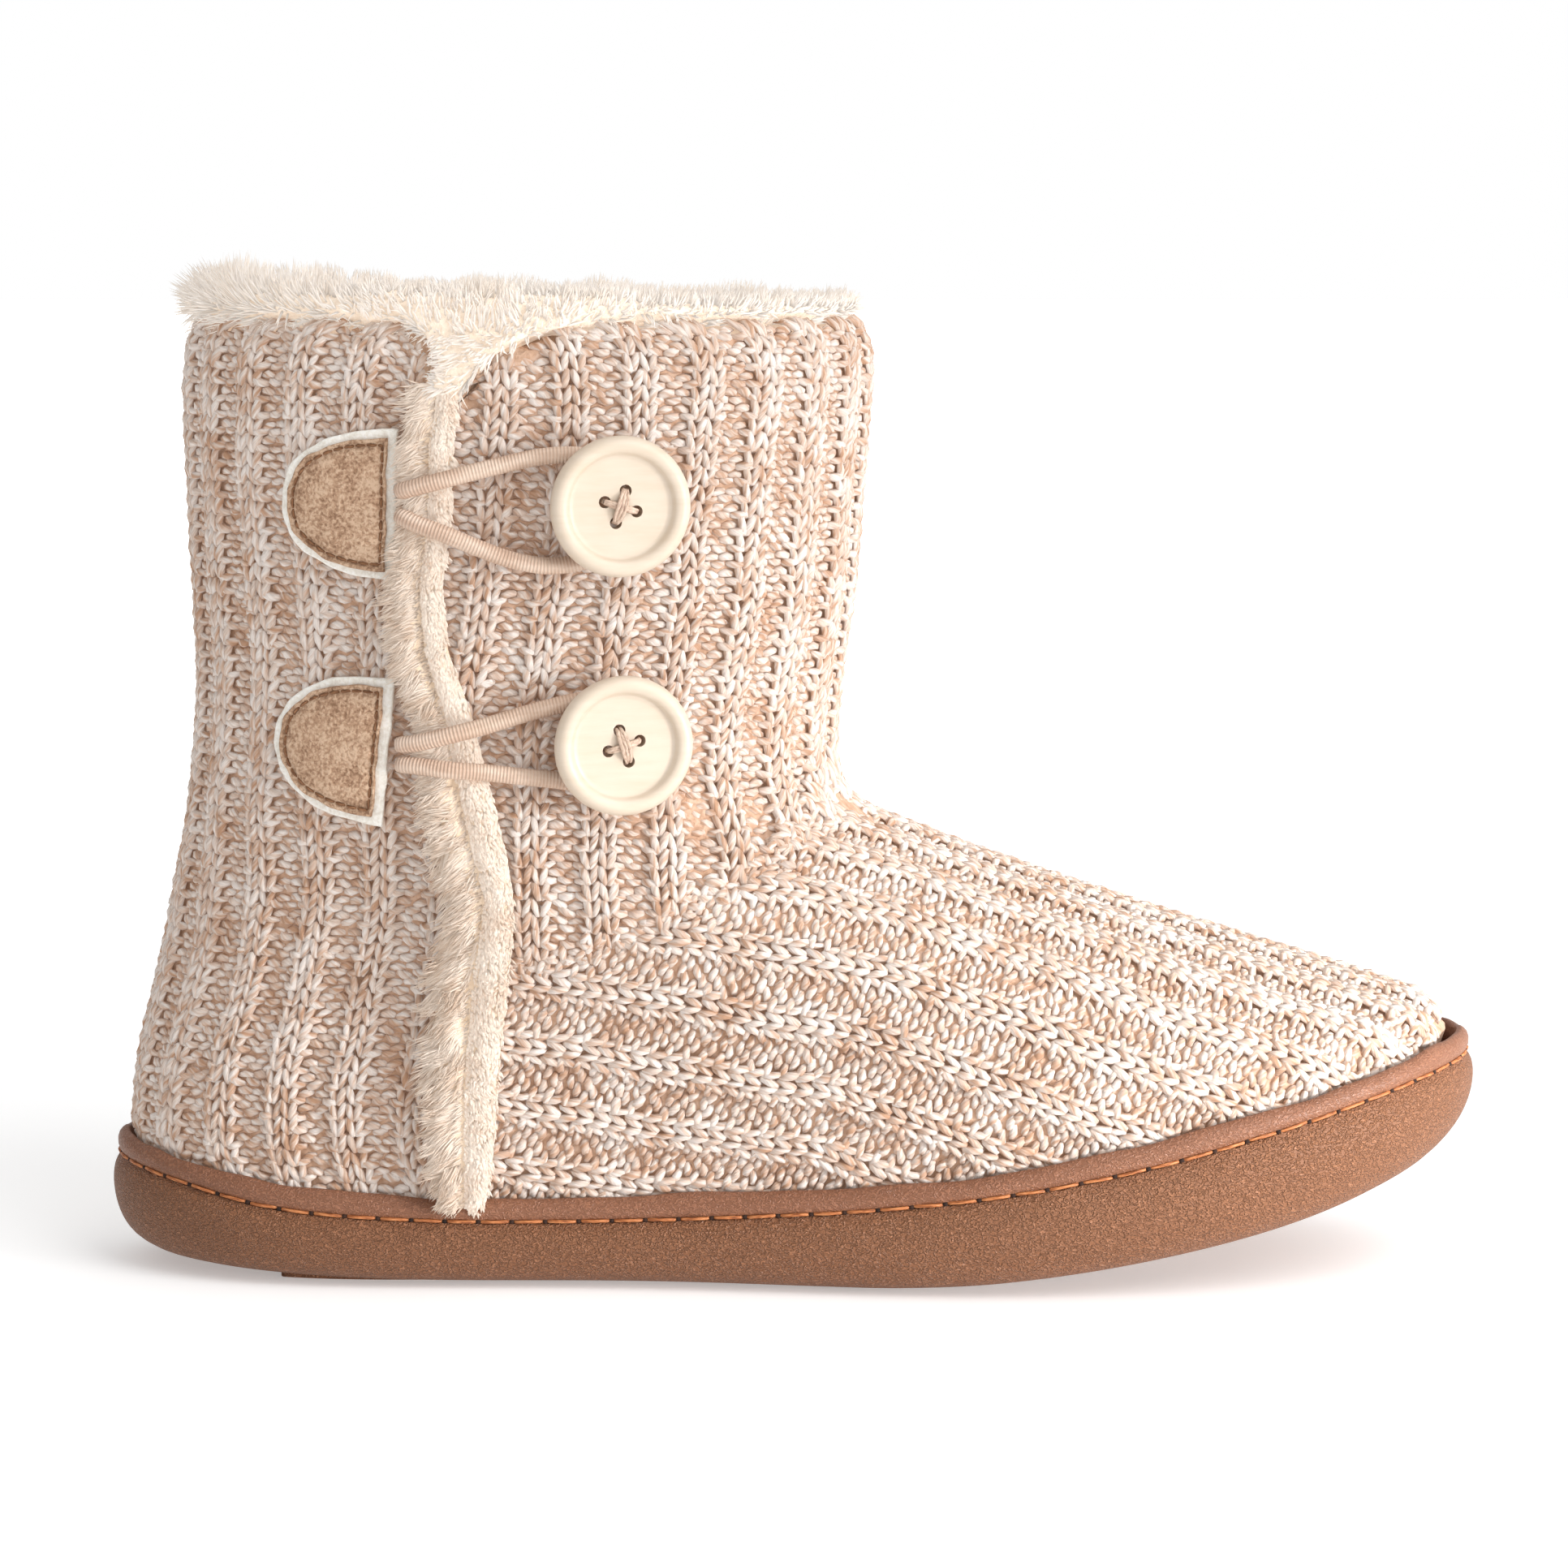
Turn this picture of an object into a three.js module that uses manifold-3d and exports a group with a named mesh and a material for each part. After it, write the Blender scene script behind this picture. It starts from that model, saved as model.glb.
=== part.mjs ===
import * as THREE from 'three';
import { mergeVertices } from 'three/addons/utils/BufferGeometryUtils.js';
import Module from 'manifold-3d';

// A knit slipper boot for the right foot. Toe towards +X, outer side towards -Y, Z up.
// Lengths are in millimetres and angles in radians. While the pieces are worked out X is
// measured from the back of the heel, and the finished group is centred over the origin.

const wasm = await Module();
wasm.setup();

// Driving sizes of the last, the shaft and the sole
const footLength = 258.5;
const ballWidth = 96;
const instepHeight = 88.5;
const shaftHeight = 177.5;
const shaftDepth = 129.2;
const shaftWidth = 95;
const shaftCentre = 79.3;
const knitWall = 3;
const soleEdge = 12.6;
const heelKick = 8.2;
const toeKick = 27.2;
const toeSpring = 24.5;
const treadDepth = 0.6;
const sideInset = 5;
const weltRise = 5;
const insoleThickness = 4;
const clearance = 0.3;

// Trim sizes
const furRise = 8.5;
const furDepth = 11;
const placketWidth = 12.4;
const placketDepth = 3.4;
const tabHeight = 27;
const tabReach = 21;
const tabBorder = 1.6;
const tabBackingThickness = 1.2;
const tabFacingThickness = 1;
const cordDiameter = 3.1;
const buttonDiameter = 25.4;
const buttonThickness = 4.2;
const buttonStandoff = 5;
const threadDiameter = 1;

// Heights of the sole's top edge (shares of heelKick and toeKick over soleEdge) and of its
// bottom (share of toeSpring over the tread pads), from the heel (0) to the toe (1)
const soleLine = [
  { at: 0, heel: 1, toe: 0, spring: 0.12 },
  { at: 0.05, heel: 0.74, toe: 0, spring: 0.085 },
  { at: 0.13, heel: 0.25, toe: 0, spring: 0.045 },
  { at: 0.22, heel: 0.05, toe: 0, spring: 0.012 },
  { at: 0.3, heel: 0, toe: 0, spring: 0 },
  { at: 0.4, heel: 0, toe: 0.025, spring: 0 },
  { at: 0.52, heel: 0, toe: 0.1, spring: 0 },
  { at: 0.58, heel: 0, toe: 0.16, spring: 0.01 },
  { at: 0.65, heel: 0, toe: 0.25, spring: 0.065 },
  { at: 0.75, heel: 0, toe: 0.43, spring: 0.22 },
  { at: 0.86, heel: 0, toe: 0.69, spring: 0.47 },
  { at: 0.95, heel: 0, toe: 0.91, spring: 0.77 },
  { at: 1, heel: 0, toe: 1, spring: 1 },
];

// Plan of the sole. Each fullness is the half width that an oval through that place would
// have, as a share of ballWidth. Drift leans the toe inwards, hollow narrows the inner waist.
const solePlan = { heel: 0.6, waist: 0.4, ball: 0.55, toe: 0.69, drift: 0.04, hollow: 0.12 };

// Places of the fullness columns along a plan, as shares of its length
const fullnessAt = { heel: 0, waist: 0.35, ball: 0.7, toe: 1 };
const hollowAt = 0.38;
const hollowSpread = 0.17;

// Level of the knit at the welt's top edge, with its rises over the sole's edge as shares of
// weltRise, and its plan
const weltLevel = { backX: 0.0105, heelRise: 1.22, frontX: 0.988, toeRise: 1.04 };
const weltPlan = { heel: 0.566, waist: 0.366, ball: 0.516, toe: 0.655, drift: 0.04, hollow: 0.12 };

// Levels of the foot from over the welt to the instep. backX and frontX are shares of
// footLength, backZ and frontZ of instepHeight. Follow says how far the level still dips
// with the sole's top edge.
const footLevels = [
  { backX: 0.0143, backZ: 0.42, frontX: 0.9672, frontZ: 0.566, follow: 0.86 },
  { backX: 0.0208, backZ: 0.51, frontX: 0.9296, frontZ: 0.606, follow: 0.68 },
  { backX: 0.0277, backZ: 0.59, frontX: 0.8821, frontZ: 0.648, follow: 0.5 },
  { backX: 0.0336, backZ: 0.663, frontX: 0.8286, frontZ: 0.697, follow: 0.34 },
  { backX: 0.0386, backZ: 0.73, frontX: 0.7741, frontZ: 0.747, follow: 0.2 },
  { backX: 0.0425, backZ: 0.792, frontX: 0.7187, frontZ: 0.801, follow: 0.1 },
  { backX: 0.0465, backZ: 0.85, frontX: 0.6652, frontZ: 0.854, follow: 0.04 },
  { backX: 0.0505, backZ: 0.902, frontX: 0.6147, frontZ: 0.908, follow: 0 },
  { backX: 0.0534, backZ: 0.952, frontX: 0.5731, frontZ: 0.956, follow: 0 },
];

// Plans of those levels, with the columns of solePlan
const footPlans = [
  { heel: 0.58, waist: 0.4, ball: 0.542, toe: 0.67, drift: 0.04, hollow: 0.1 },
  { heel: 0.56, waist: 0.42, ball: 0.54, toe: 0.635, drift: 0.035, hollow: 0.08 },
  { heel: 0.53, waist: 0.43, ball: 0.528, toe: 0.6, drift: 0.03, hollow: 0.06 },
  { heel: 0.505, waist: 0.436, ball: 0.512, toe: 0.56, drift: 0.022, hollow: 0.04 },
  { heel: 0.485, waist: 0.44, ball: 0.496, toe: 0.525, drift: 0.015, hollow: 0.02 },
  { heel: 0.472, waist: 0.442, ball: 0.48, toe: 0.498, drift: 0.008, hollow: 0.01 },
  { heel: 0.466, waist: 0.445, ball: 0.47, toe: 0.477, drift: 0.003, hollow: 0 },
  { heel: 0.462, waist: 0.448, ball: 0.462, toe: 0.465, drift: 0, hollow: 0 },
  { heel: 0.46, waist: 0.45, ball: 0.458, toe: 0.458, drift: 0, hollow: 0 },
];

// Levels of the shaft from the instep to the rim. Rise is a share of the height from
// instepHeight to shaftHeight, back and front are shares of shaftDepth either side of
// shaftCentre, and half is a share of shaftWidth.
const shaftLevels = [
  { rise: 0, back: 0.502, front: 0.471, half: 0.464 },
  { rise: 0.055, back: 0.497, front: 0.453, half: 0.466 },
  { rise: 0.14, back: 0.492, front: 0.453, half: 0.47 },
  { rise: 0.265, back: 0.488, front: 0.463, half: 0.475 },
  { rise: 0.445, back: 0.492, front: 0.481, half: 0.486 },
  { rise: 0.62, back: 0.497, front: 0.49, half: 0.495 },
  { rise: 0.78, back: 0.502, front: 0.499, half: 0.502 },
  { rise: 0.893, back: 0.502, front: 0.506, half: 0.504 },
  { rise: 0.966, back: 0.495, front: 0.501, half: 0.498 },
  { rise: 1, back: 0.482, front: 0.482, half: 0.478 },
];

const lerp = THREE.MathUtils.lerp;

// Smooth curve through the rows of a table, with a value for each column
function rowAt(rows, at) {
  let index = 0;
  while (index < rows.length - 2 && at > rows[index + 1].at) {
    index += 1;
  }
  const from = rows[index];
  const to = rows[index + 1];
  const before = rows[Math.max(index - 1, 0)];
  const after = rows[Math.min(index + 2, rows.length - 1)];
  const span = to.at - from.at;
  const t = THREE.MathUtils.clamp((at - from.at) / span, 0, 1);
  const row = {};
  for (const name of Object.keys(from)) {
    const startSlope = ((to[name] - before[name]) / (to.at - before.at)) * span;
    const endSlope = ((after[name] - from[name]) / (after.at - from.at)) * span;
    row[name] = (2 * t ** 3 - 3 * t ** 2 + 1) * from[name] + (t ** 3 - 2 * t ** 2 + t) * startSlope
      + (3 * t ** 2 - 2 * t ** 3) * to[name] + (t ** 3 - t ** 2) * endSlope;
  }
  return row;
}

function soleTop(x) {
  const row = rowAt(soleLine, x / footLength);
  return soleEdge + row.heel * heelKick + row.toe * toeKick;
}

function soleBottom(x) {
  return treadDepth + rowAt(soleLine, x / footLength).spring * toeSpring;
}

// Plan sizes in millimetres from a row of shares, drawn in by an inset all round
function planRow(shares, backX, frontX, inset = 0) {
  const row = { backX: backX + inset, frontX: frontX - inset, hollow: shares.hollow };
  for (const name of Object.keys(fullnessAt)) {
    row[name] = shares[name] * ballWidth - inset;
  }
  row.drift = shares.drift * ballWidth;
  return row;
}

// Point of a plan at an angle: 0 at the heel, a quarter turn on the outer side, half at the toe
function planPoint(row, angle) {
  const share = (1 - Math.cos(angle)) / 2;
  const fullness = Object.keys(fullnessAt).map((name) => ({ at: fullnessAt[name], half: row[name] }));
  const half = rowAt(fullness, share).half;
  const waist = Math.exp(-(((share - hollowAt) / hollowSpread) ** 2));
  const narrowing = angle > Math.PI ? 1 - row.hollow * waist : 1;
  const x = lerp(row.backX, row.frontX, share);
  return { x, y: row.drift * share ** 2 - Math.sin(angle) * half * narrowing, share };
}

// The upper's levels in millimetres. The first is its bottom edge, standing on the sole.
function upperLevels() {
  const feather = planRow(solePlan, 0, footLength, sideInset);
  feather.backZ = soleTop(feather.backX) + clearance;
  feather.frontZ = soleTop(feather.frontX) + clearance;
  feather.follow = 1;
  const welt = planRow(weltPlan, weltLevel.backX * footLength, weltLevel.frontX * footLength);
  welt.backZ = soleTop(welt.backX) + weltLevel.heelRise * weltRise;
  welt.frontZ = soleTop(welt.frontX) + weltLevel.toeRise * weltRise;
  welt.follow = 1;
  const foot = footLevels.map((level, index) => {
    const row = planRow(footPlans[index], level.backX * footLength, level.frontX * footLength);
    row.backZ = level.backZ * instepHeight;
    row.frontZ = level.frontZ * instepHeight;
    row.follow = level.follow;
    return row;
  });
  const shaft = shaftLevels.map((level) => {
    const half = level.half * shaftWidth;
    const height = lerp(instepHeight, shaftHeight, level.rise);
    return {
      backX: shaftCentre - level.back * shaftDepth,
      frontX: shaftCentre + level.front * shaftDepth,
      backZ: height,
      frontZ: height,
      follow: 0,
      heel: half,
      waist: half,
      ball: half,
      toe: half,
      drift: 0,
      hollow: 0,
    };
  });
  return [feather, welt, ...foot, ...shaft].map((row, index) => ({ at: index, ...row }));
}

const levels = upperLevels();
const rimLevel = levels.length - 1;

function surfacePoint(level, angle) {
  const row = rowAt(levels, level);
  const { x, y, share } = planPoint(row, angle);
  const dip = soleTop(x) - lerp(soleTop(row.backX), soleTop(row.frontX), share);
  return new THREE.Vector3(x, y, lerp(row.backZ, row.frontZ, share) + row.follow * dip);
}

const levelStep = 0.05;
const angleStep = 0.01;

// Outward direction of the knit surface, kept level at the bottom edge
function surfaceNormal(level, angle) {
  const lower = Math.min(level, rimLevel - levelStep);
  const along = surfacePoint(level, angle + angleStep).sub(surfacePoint(level, angle - angleStep));
  const up = surfacePoint(lower + levelStep, angle).sub(surfacePoint(lower, angle));
  const normal = along.cross(up).normalize();
  normal.z *= Math.min(level, 1);
  return normal.normalize();
}

function offsetPoint(level, angle, offset) {
  return surfacePoint(level, angle).addScaledVector(surfaceNormal(level, angle), offset);
}

// Level and angle of the point of the outer side that lies at x and z in the side view
function sidePlace(x, z) {
  let low = 0;
  let high = rimLevel;
  let level = 0;
  let angle = 0;
  for (let pass = 0; pass < 28; pass += 1) {
    level = (low + high) / 2;
    const row = rowAt(levels, level);
    const share = THREE.MathUtils.clamp((x - row.backX) / (row.frontX - row.backX), 0.001, 0.999);
    angle = Math.acos(1 - 2 * share);
    if (surfacePoint(level, angle).z < z) {
      low = level;
    } else {
      high = level;
    }
  }
  return { level, angle };
}

// Places in the side view, as shares of shaftDepth from shaftCentre and of shaftHeight
function sideX(share) {
  return shaftCentre + share * shaftDepth;
}

function sideZ(share) {
  return share * shaftHeight;
}

function sidePoint(x, z, offset) {
  const { level, angle } = sidePlace(x, z);
  return offsetPoint(level, angle, offset);
}

const aroundSteps = 60;

function ring(pointAt) {
  return Array.from({ length: aroundSteps }, (_, step) => pointAt((2 * Math.PI * step) / aroundSteps));
}

function manifoldFrom(positions, triangles) {
  let volume = 0;
  for (let corner = 0; corner < triangles.length; corner += 3) {
    const [a, b, c] = triangles.slice(corner, corner + 3).map((index) => {
      return new THREE.Vector3().fromArray(positions, 3 * index);
    });
    volume += a.dot(b.cross(c));
  }
  const faces = volume < 0 ? [...triangles].reverse() : triangles;
  return new wasm.Manifold(new wasm.Mesh({
    numProp: 3,
    vertProperties: Float32Array.from(positions),
    triVerts: Uint32Array.from(faces),
  }));
}

// Solid through rings of equally many points. Without caps the last ring joins the first.
// A cap runs across between each point and the one that mirrors it about the ring's start.
function loft(rings, capped) {
  const count = rings[0].length;
  const positions = rings.flat().flatMap((point) => point.toArray());
  const triangles = [];
  const bands = capped ? rings.length - 1 : rings.length;
  for (let band = 0; band < bands; band += 1) {
    const lower = band * count;
    const upper = ((band + 1) % rings.length) * count;
    for (let step = 0; step < count; step += 1) {
      const next = (step + 1) % count;
      triangles.push(lower + step, lower + next, upper + next, lower + step, upper + next, upper + step);
    }
  }
  if (capped) {
    const top = (rings.length - 1) * count;
    for (let step = 0; step < count / 2; step += 1) {
      const next = step + 1;
      const mirror = (count - step) % count;
      const mirrorNext = count - next;
      if (step > 0) {
        triangles.push(mirror, next, step);
        triangles.push(top + step, top + next, top + mirror);
      }
      if (mirrorNext !== next) {
        triangles.push(mirror, mirrorNext, next);
        triangles.push(top + next, top + mirrorNext, top + mirror);
      }
    }
  }
  return manifoldFrom(positions, triangles);
}

function manifoldOf(geometry) {
  geometry.deleteAttribute('normal');
  geometry.deleteAttribute('uv');
  const merged = mergeVertices(geometry);
  return manifoldFrom(Array.from(merged.attributes.position.array), Array.from(merged.index.array));
}

function geometryOf(solid) {
  const mesh = solid.getMesh();
  const geometry = new THREE.BufferGeometry();
  geometry.setAttribute('position', new THREE.BufferAttribute(mesh.vertProperties, 3));
  geometry.setIndex(new THREE.BufferAttribute(mesh.triVerts, 1));
  return geometry;
}

// Outline in the side view, given as x and z, pushed through the outer wall
function sidePrism(outline, fromY, toY) {
  const shape = new THREE.Shape(outline.map(([x, z]) => new THREE.Vector2(x, z)));
  const geometry = new THREE.ExtrudeGeometry(shape, { depth: toY - fromY, bevelEnabled: false });
  geometry.rotateX(Math.PI / 2);
  geometry.translate(0, toY, 0);
  return manifoldOf(geometry);
}

// Side wall of the sole from its bottom face to its top edge: how far up, and how far in
const soleWall = [
  { up: 0, inset: 9 },
  { up: 0.05, inset: 6 },
  { up: 0.18, inset: 2.9 },
  { up: 0.38, inset: 0.9 },
  { up: 0.64, inset: 0 },
  { up: 0.86, inset: 0.3 },
  { up: 1, inset: 1.5 },
];

// Flat pads that the sole stands on, as shares of footLength, and the rows of stud groups
const treadPads = [{ from: 0.13, to: 0.31 }, { from: 0.43, to: 0.58 }];
const padInset = 13;
const padRoot = 2.2;
const padSteps = 12;
const studRows = [0.7, 0.77, 0.84, 0.9];
const studColumns = [0.12, 0.5, 0.88];
const studHeight = 1.8;
const studRadius = 0.9;
const studPitch = 2.3;
const studSides = 5;
const sunk = 0.6;

// Outer and inner edge of the sole at x, drawn in by padInset
function treadEdges(x) {
  const row = planRow(solePlan, 0, footLength, padInset);
  const angle = Math.acos(1 - (2 * (x - row.backX)) / (row.frontX - row.backX));
  return { outer: planPoint(row, angle).y, inner: planPoint(row, 2 * Math.PI - angle).y };
}

function padSolid(pad) {
  const across = Array.from({ length: padSteps + 1 }, (_, step) => {
    return lerp(pad.from, pad.to, step / padSteps) * footLength;
  });
  const outer = across.map((x) => new THREE.Vector2(x, treadEdges(x).outer));
  const inner = across.map((x) => new THREE.Vector2(x, treadEdges(x).inner));
  const shape = new THREE.Shape([...outer, ...inner.reverse()]);
  return manifoldOf(new THREE.ExtrudeGeometry(shape, { depth: treadDepth + padRoot, bevelEnabled: false }));
}

function studSolid(x, y) {
  const height = studHeight + sunk;
  const stud = new THREE.CylinderGeometry(studRadius, studRadius / 3, height, studSides);
  stud.rotateX(Math.PI / 2);
  stud.translate(x, y, soleBottom(x) + sunk - height / 2);
  return manifoldOf(stud);
}

function outsoleSolid() {
  const rings = soleWall.map(({ up, inset }) => ring((angle) => {
    const { x, y } = planPoint(planRow(solePlan, 0, footLength, inset), angle);
    return new THREE.Vector3(x, y, lerp(soleBottom(x), soleTop(x), up));
  }));
  let solid = loft(rings, true);
  for (const pad of treadPads) {
    solid = solid.add(padSolid(pad));
  }
  for (const along of studRows) {
    const { outer, inner } = treadEdges(along * footLength);
    for (const across of studColumns) {
      for (const place of [-1, 0, 1]) {
        solid = solid.add(studSolid(along * footLength + place * studPitch, lerp(outer, inner, across)));
      }
    }
  }
  return solid;
}

// The foot's wall from its bottom edge (0) to the welt's top edge (1), straight between them
function footWall(share, angle, offset) {
  return offsetPoint(0, angle, offset).lerp(offsetPoint(1, angle, offset), share);
}

// The insole lies against the inside of the knit: how far up the wall each section of its
// edge is, how far it stands off, and its height as a share of its thickness
const insoleEdge = [
  { wall: 0, standOff: 0, up: 0 },
  { wall: 0.5, standOff: 0, up: 0.6 },
  { wall: 0.8, standOff: 1.4, up: 1 },
];

function insoleSolid() {
  return loft(insoleEdge.map(({ wall, standOff, up }) => ring((angle) => {
    const point = footWall(wall, angle, -knitWall - 2 * clearance - standOff);
    return point.setZ(soleTop(point.x) + clearance + up * insoleThickness);
  })), true);
}

// The welt's section: up is a share of the way to the first foot level, inset is from the
// sole's edge, and the sections without one lie against the knit
const weltSection = [
  { up: 0.02, inset: 1.6 },
  { up: 0.3, inset: 0.9 },
  { up: 0.62, inset: 1 },
  { up: 0.92, inset: 1.4 },
  { up: 1 },
  { up: 0.5 },
  { up: 0.02 },
];

function weltSolid() {
  const rings = weltSection.map(({ up, inset }) => ring((angle) => {
    const wall = footWall(up, angle, clearance);
    if (inset === undefined) {
      return wall;
    }
    const { x, y } = planPoint(planRow(solePlan, 0, footLength, inset), angle);
    return new THREE.Vector3(x, y, soleTop(x) + clearance + up * weltRise);
  }));
  return loft(rings, false);
}

// Rounded notch in the collar at the top of the slit, as shares in the side view
const notchOutline = [
  { x: -0.1296, z: 0.92 },
  { x: -0.1216, z: 0.945 },
  { x: -0.1116, z: 0.968 },
  { x: -0.1216, z: 0.982 },
  { x: -0.1456, z: 0.996 },
  { x: -0.1636, z: 1.06 },
  { x: 0.1185, z: 1.06 },
  { x: 0.0925, z: 0.999 },
  { x: 0.0405, z: 0.99 },
  { x: -0.0135, z: 0.973 },
  { x: -0.0556, z: 0.949 },
  { x: -0.0816, z: 0.92 },
];

// The notch as x and z, drawn in by an inset about its middle
function notchPoints(inset) {
  const points = notchOutline.map(({ x, z }) => new THREE.Vector2(sideX(x), sideZ(z)));
  return points.map((point, index) => {
    const before = points[(index + points.length - 1) % points.length];
    const after = points[(index + 1) % points.length];
    const along = after.clone().sub(before).normalize();
    return [point.x + along.y * inset, point.y - along.x * inset];
  });
}

// How far in and out the cuts through the outer wall reach
const insideY = -0.1 * shaftWidth;
const outsideY = -0.75 * shaftWidth;

// Hollow wall between two offsets of the knit surface, its top edge raised by topRise
function wallSolid(outer, inner, wallLevels, innerLevels, topRise) {
  const top = wallLevels[wallLevels.length - 1];
  const raised = (level, offset) => ring((angle) => {
    const point = offsetPoint(level, angle, offset);
    point.z += level === top ? topRise : 0;
    return point;
  });
  const outside = wallLevels.map((level) => raised(level, outer));
  const inside = [...innerLevels].reverse().map((level) => raised(level, inner));
  return loft([...outside, ...inside], false);
}

function upperSolid() {
  const wallLevels = levels.map((row) => row.at);
  const innerLevels = wallLevels.filter((level) => level < 2 || level % 2 === rimLevel % 2);
  const wall = wallSolid(0, -knitWall, wallLevels, innerLevels, 0);
  return wall.subtract(sidePrism(notchPoints(0), outsideY, insideY));
}

// Section of the collar's pile. Out is from the rim's edge, up is from the rim, and both are
// shares: out of furDepth inwards, up of furRise above the rim and of furDepth below it.
const furSection = [
  { out: -0.31, up: -0.85 },
  { out: -0.31, up: 0.03 },
  { out: 0, up: 0.05 },
  { out: 0.1, up: 0.32 },
  { out: 0.02, up: 0.72 },
  { out: -0.27, up: 0.95 },
  { out: -0.62, up: 0.86 },
  { out: -0.93, up: 0.4 },
  { out: -1, up: -0.25 },
  { out: -0.84, up: -0.8 },
];
const furFrontShare = 0.6;
const lockCount = 60;
const lockRadius = 2.6;
const lockLength = 4.6;
const lockSides = 5;
const lockLean = 0.37;
const lockSwirl = 0.06;
const lockRoots = { inner: -0.8, outer: -0.05, up: 0.75 };
const lockTips = { inner: -1.1, outer: 0.25, up: 1.3 };
const goldenTurn = Math.PI * (3 - Math.sqrt(5));
const plugLevels = [rimLevel - 3.6, rimLevel - 2.4, rimLevel - 1.2, rimLevel];
const plugOut = 1.6;
const plugIn = 2.6;
const plugRise = 0.1;

function furPoint(angle, out, up) {
  const rim = surfacePoint(rimLevel, angle);
  const outward = surfaceNormal(rimLevel, angle).setZ(0).normalize();
  const front = (1 - Math.cos(angle)) / 2;
  const rise = up > 0 ? furRise * lerp(1, furFrontShare, front) : furDepth;
  return rim.addScaledVector(outward, out * furDepth).setZ(rim.z + up * rise);
}

function lockSolid(root, tip) {
  const lock = new THREE.ConeGeometry(lockRadius, lockLength, lockSides);
  const direction = tip.clone().sub(root).normalize();
  lock.applyQuaternion(new THREE.Quaternion().setFromUnitVectors(new THREE.Vector3(0, 1, 0), direction));
  lock.translate(...root.toArray());
  return manifoldOf(lock);
}

function furCollarSolid() {
  const rings = furSection.map(({ out, up }) => ring((angle) => furPoint(angle, out, up)));
  let solid = loft(rings, false);
  const plug = wallSolid(plugOut, -knitWall - plugIn, plugLevels, plugLevels, plugRise * furRise);
  solid = solid.add(plug.intersect(sidePrism(notchPoints(clearance), outsideY, insideY)));
  for (let lock = 0; lock < lockCount; lock += 1) {
    const angle = (lock * goldenTurn) % (2 * Math.PI);
    const lean = (lock * lockLean) % 1;
    const root = furPoint(angle, lerp(lockRoots.inner, lockRoots.outer, lean), lockRoots.up);
    const tip = furPoint(angle + lockSwirl, lerp(lockTips.inner, lockTips.outer, lean), lockTips.up);
    solid = solid.add(lockSolid(root, tip));
  }
  return solid;
}

// The pile strip down the slit: height and middle as shares in the side view, width and depth
// as shares of placketWidth and placketDepth. It is pressed flat where the loops cross it.
const placketRows = [
  { at: 0, height: 0.916, middle: -0.1052, width: 0.52, depth: 0.7 },
  { at: 1, height: 0.885, middle: -0.115, width: 0.7, depth: 0.95 },
  { at: 2, height: 0.862, middle: -0.118, width: 0.74, depth: 0.54 },
  { at: 3, height: 0.83, middle: -0.121, width: 0.74, depth: 0.52 },
  { at: 4, height: 0.79, middle: -0.124, width: 0.72, depth: 0.54 },
  { at: 5, height: 0.74, middle: -0.131, width: 0.68, depth: 1 },
  { at: 6, height: 0.67, middle: -0.129, width: 0.66, depth: 1 },
  { at: 7, height: 0.61, middle: -0.1112, width: 0.76, depth: 0.9 },
  { at: 8, height: 0.58, middle: -0.1022, width: 0.82, depth: 0.52 },
  { at: 9, height: 0.542, middle: -0.0894, width: 0.92, depth: 0.52 },
  { at: 10, height: 0.475, middle: -0.0656, width: 1, depth: 1 },
  { at: 11, height: 0.407, middle: -0.0536, width: 0.98, depth: 1 },
  { at: 12, height: 0.34, middle: -0.0576, width: 1.06, depth: 1 },
  { at: 13, height: 0.257, middle: -0.0646, width: 1.1, depth: 1 },
  { at: 14, height: 0.172, middle: -0.0734, width: 1, depth: 0.95 },
  { at: 15, height: 0.12, middle: -0.0824, width: 0.78, depth: 0.8 },
];
const placketSteps = 28;
const placketAcross = 6;
const placketEdge = 0.12;
const placketFlatness = 2.4;

function placketPoint(along, across, lift) {
  const row = rowAt(placketRows, along * (placketRows.length - 1));
  const x = sideX(row.middle) + (across * row.width * placketWidth) / 2;
  const arch = Math.sqrt(Math.max(1 - Math.abs(across) ** placketFlatness, 0));
  const swell = lerp(placketEdge, 1, arch);
  const depth = row.depth * placketDepth * swell;
  return sidePoint(x, sideZ(row.height), clearance + lift * depth);
}

function furPlacketSolid() {
  const rings = Array.from({ length: placketSteps + 1 }, (_, step) => {
    const along = step / placketSteps;
    const across = Array.from({ length: placketAcross + 1 }, (_, place) => (2 * place) / placketAcross - 1);
    const top = across.map((place) => placketPoint(along, place, 1));
    const under = across.map((place) => placketPoint(along, place, 0)).reverse();
    return [...top, ...under];
  });
  return loft(rings, true);
}

// D-shaped tabs: where the middle of the straight edge is, as shares in the side view, and how
// far the tab leans
const tabs = {
  upper: { edge: -0.1633, middle: 0.8203, lean: 0.03 },
  lower: { edge: -0.1788, middle: 0.5679, lean: 0.1 },
};
const tabRoundness = 2.3;
const tabCentre = 0.45;
const tabArcSteps = 7;
const tabEdgeSteps = 2;

// Outline of a tab from the far end of its arc, round over its straight edge and back
function tabOutline(border) {
  const half = tabHeight / 2 - border;
  const reach = tabReach - 2 * border;
  const points = [];
  for (let step = 0; step <= tabArcSteps; step += 1) {
    const turn = (step / tabArcSteps) * (Math.PI / 2);
    const a = -border - reach * Math.cos(turn) ** (2 / tabRoundness);
    points.push([a, half * Math.sin(turn) ** (2 / tabRoundness)]);
  }
  for (let step = 1; step <= tabEdgeSteps; step += 1) {
    points.push([-border, half * (1 - step / tabEdgeSteps)]);
  }
  const mirrored = points.slice(1, -1).reverse().map(([a, b]) => [a, -b]);
  return [...points, ...mirrored];
}

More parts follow.
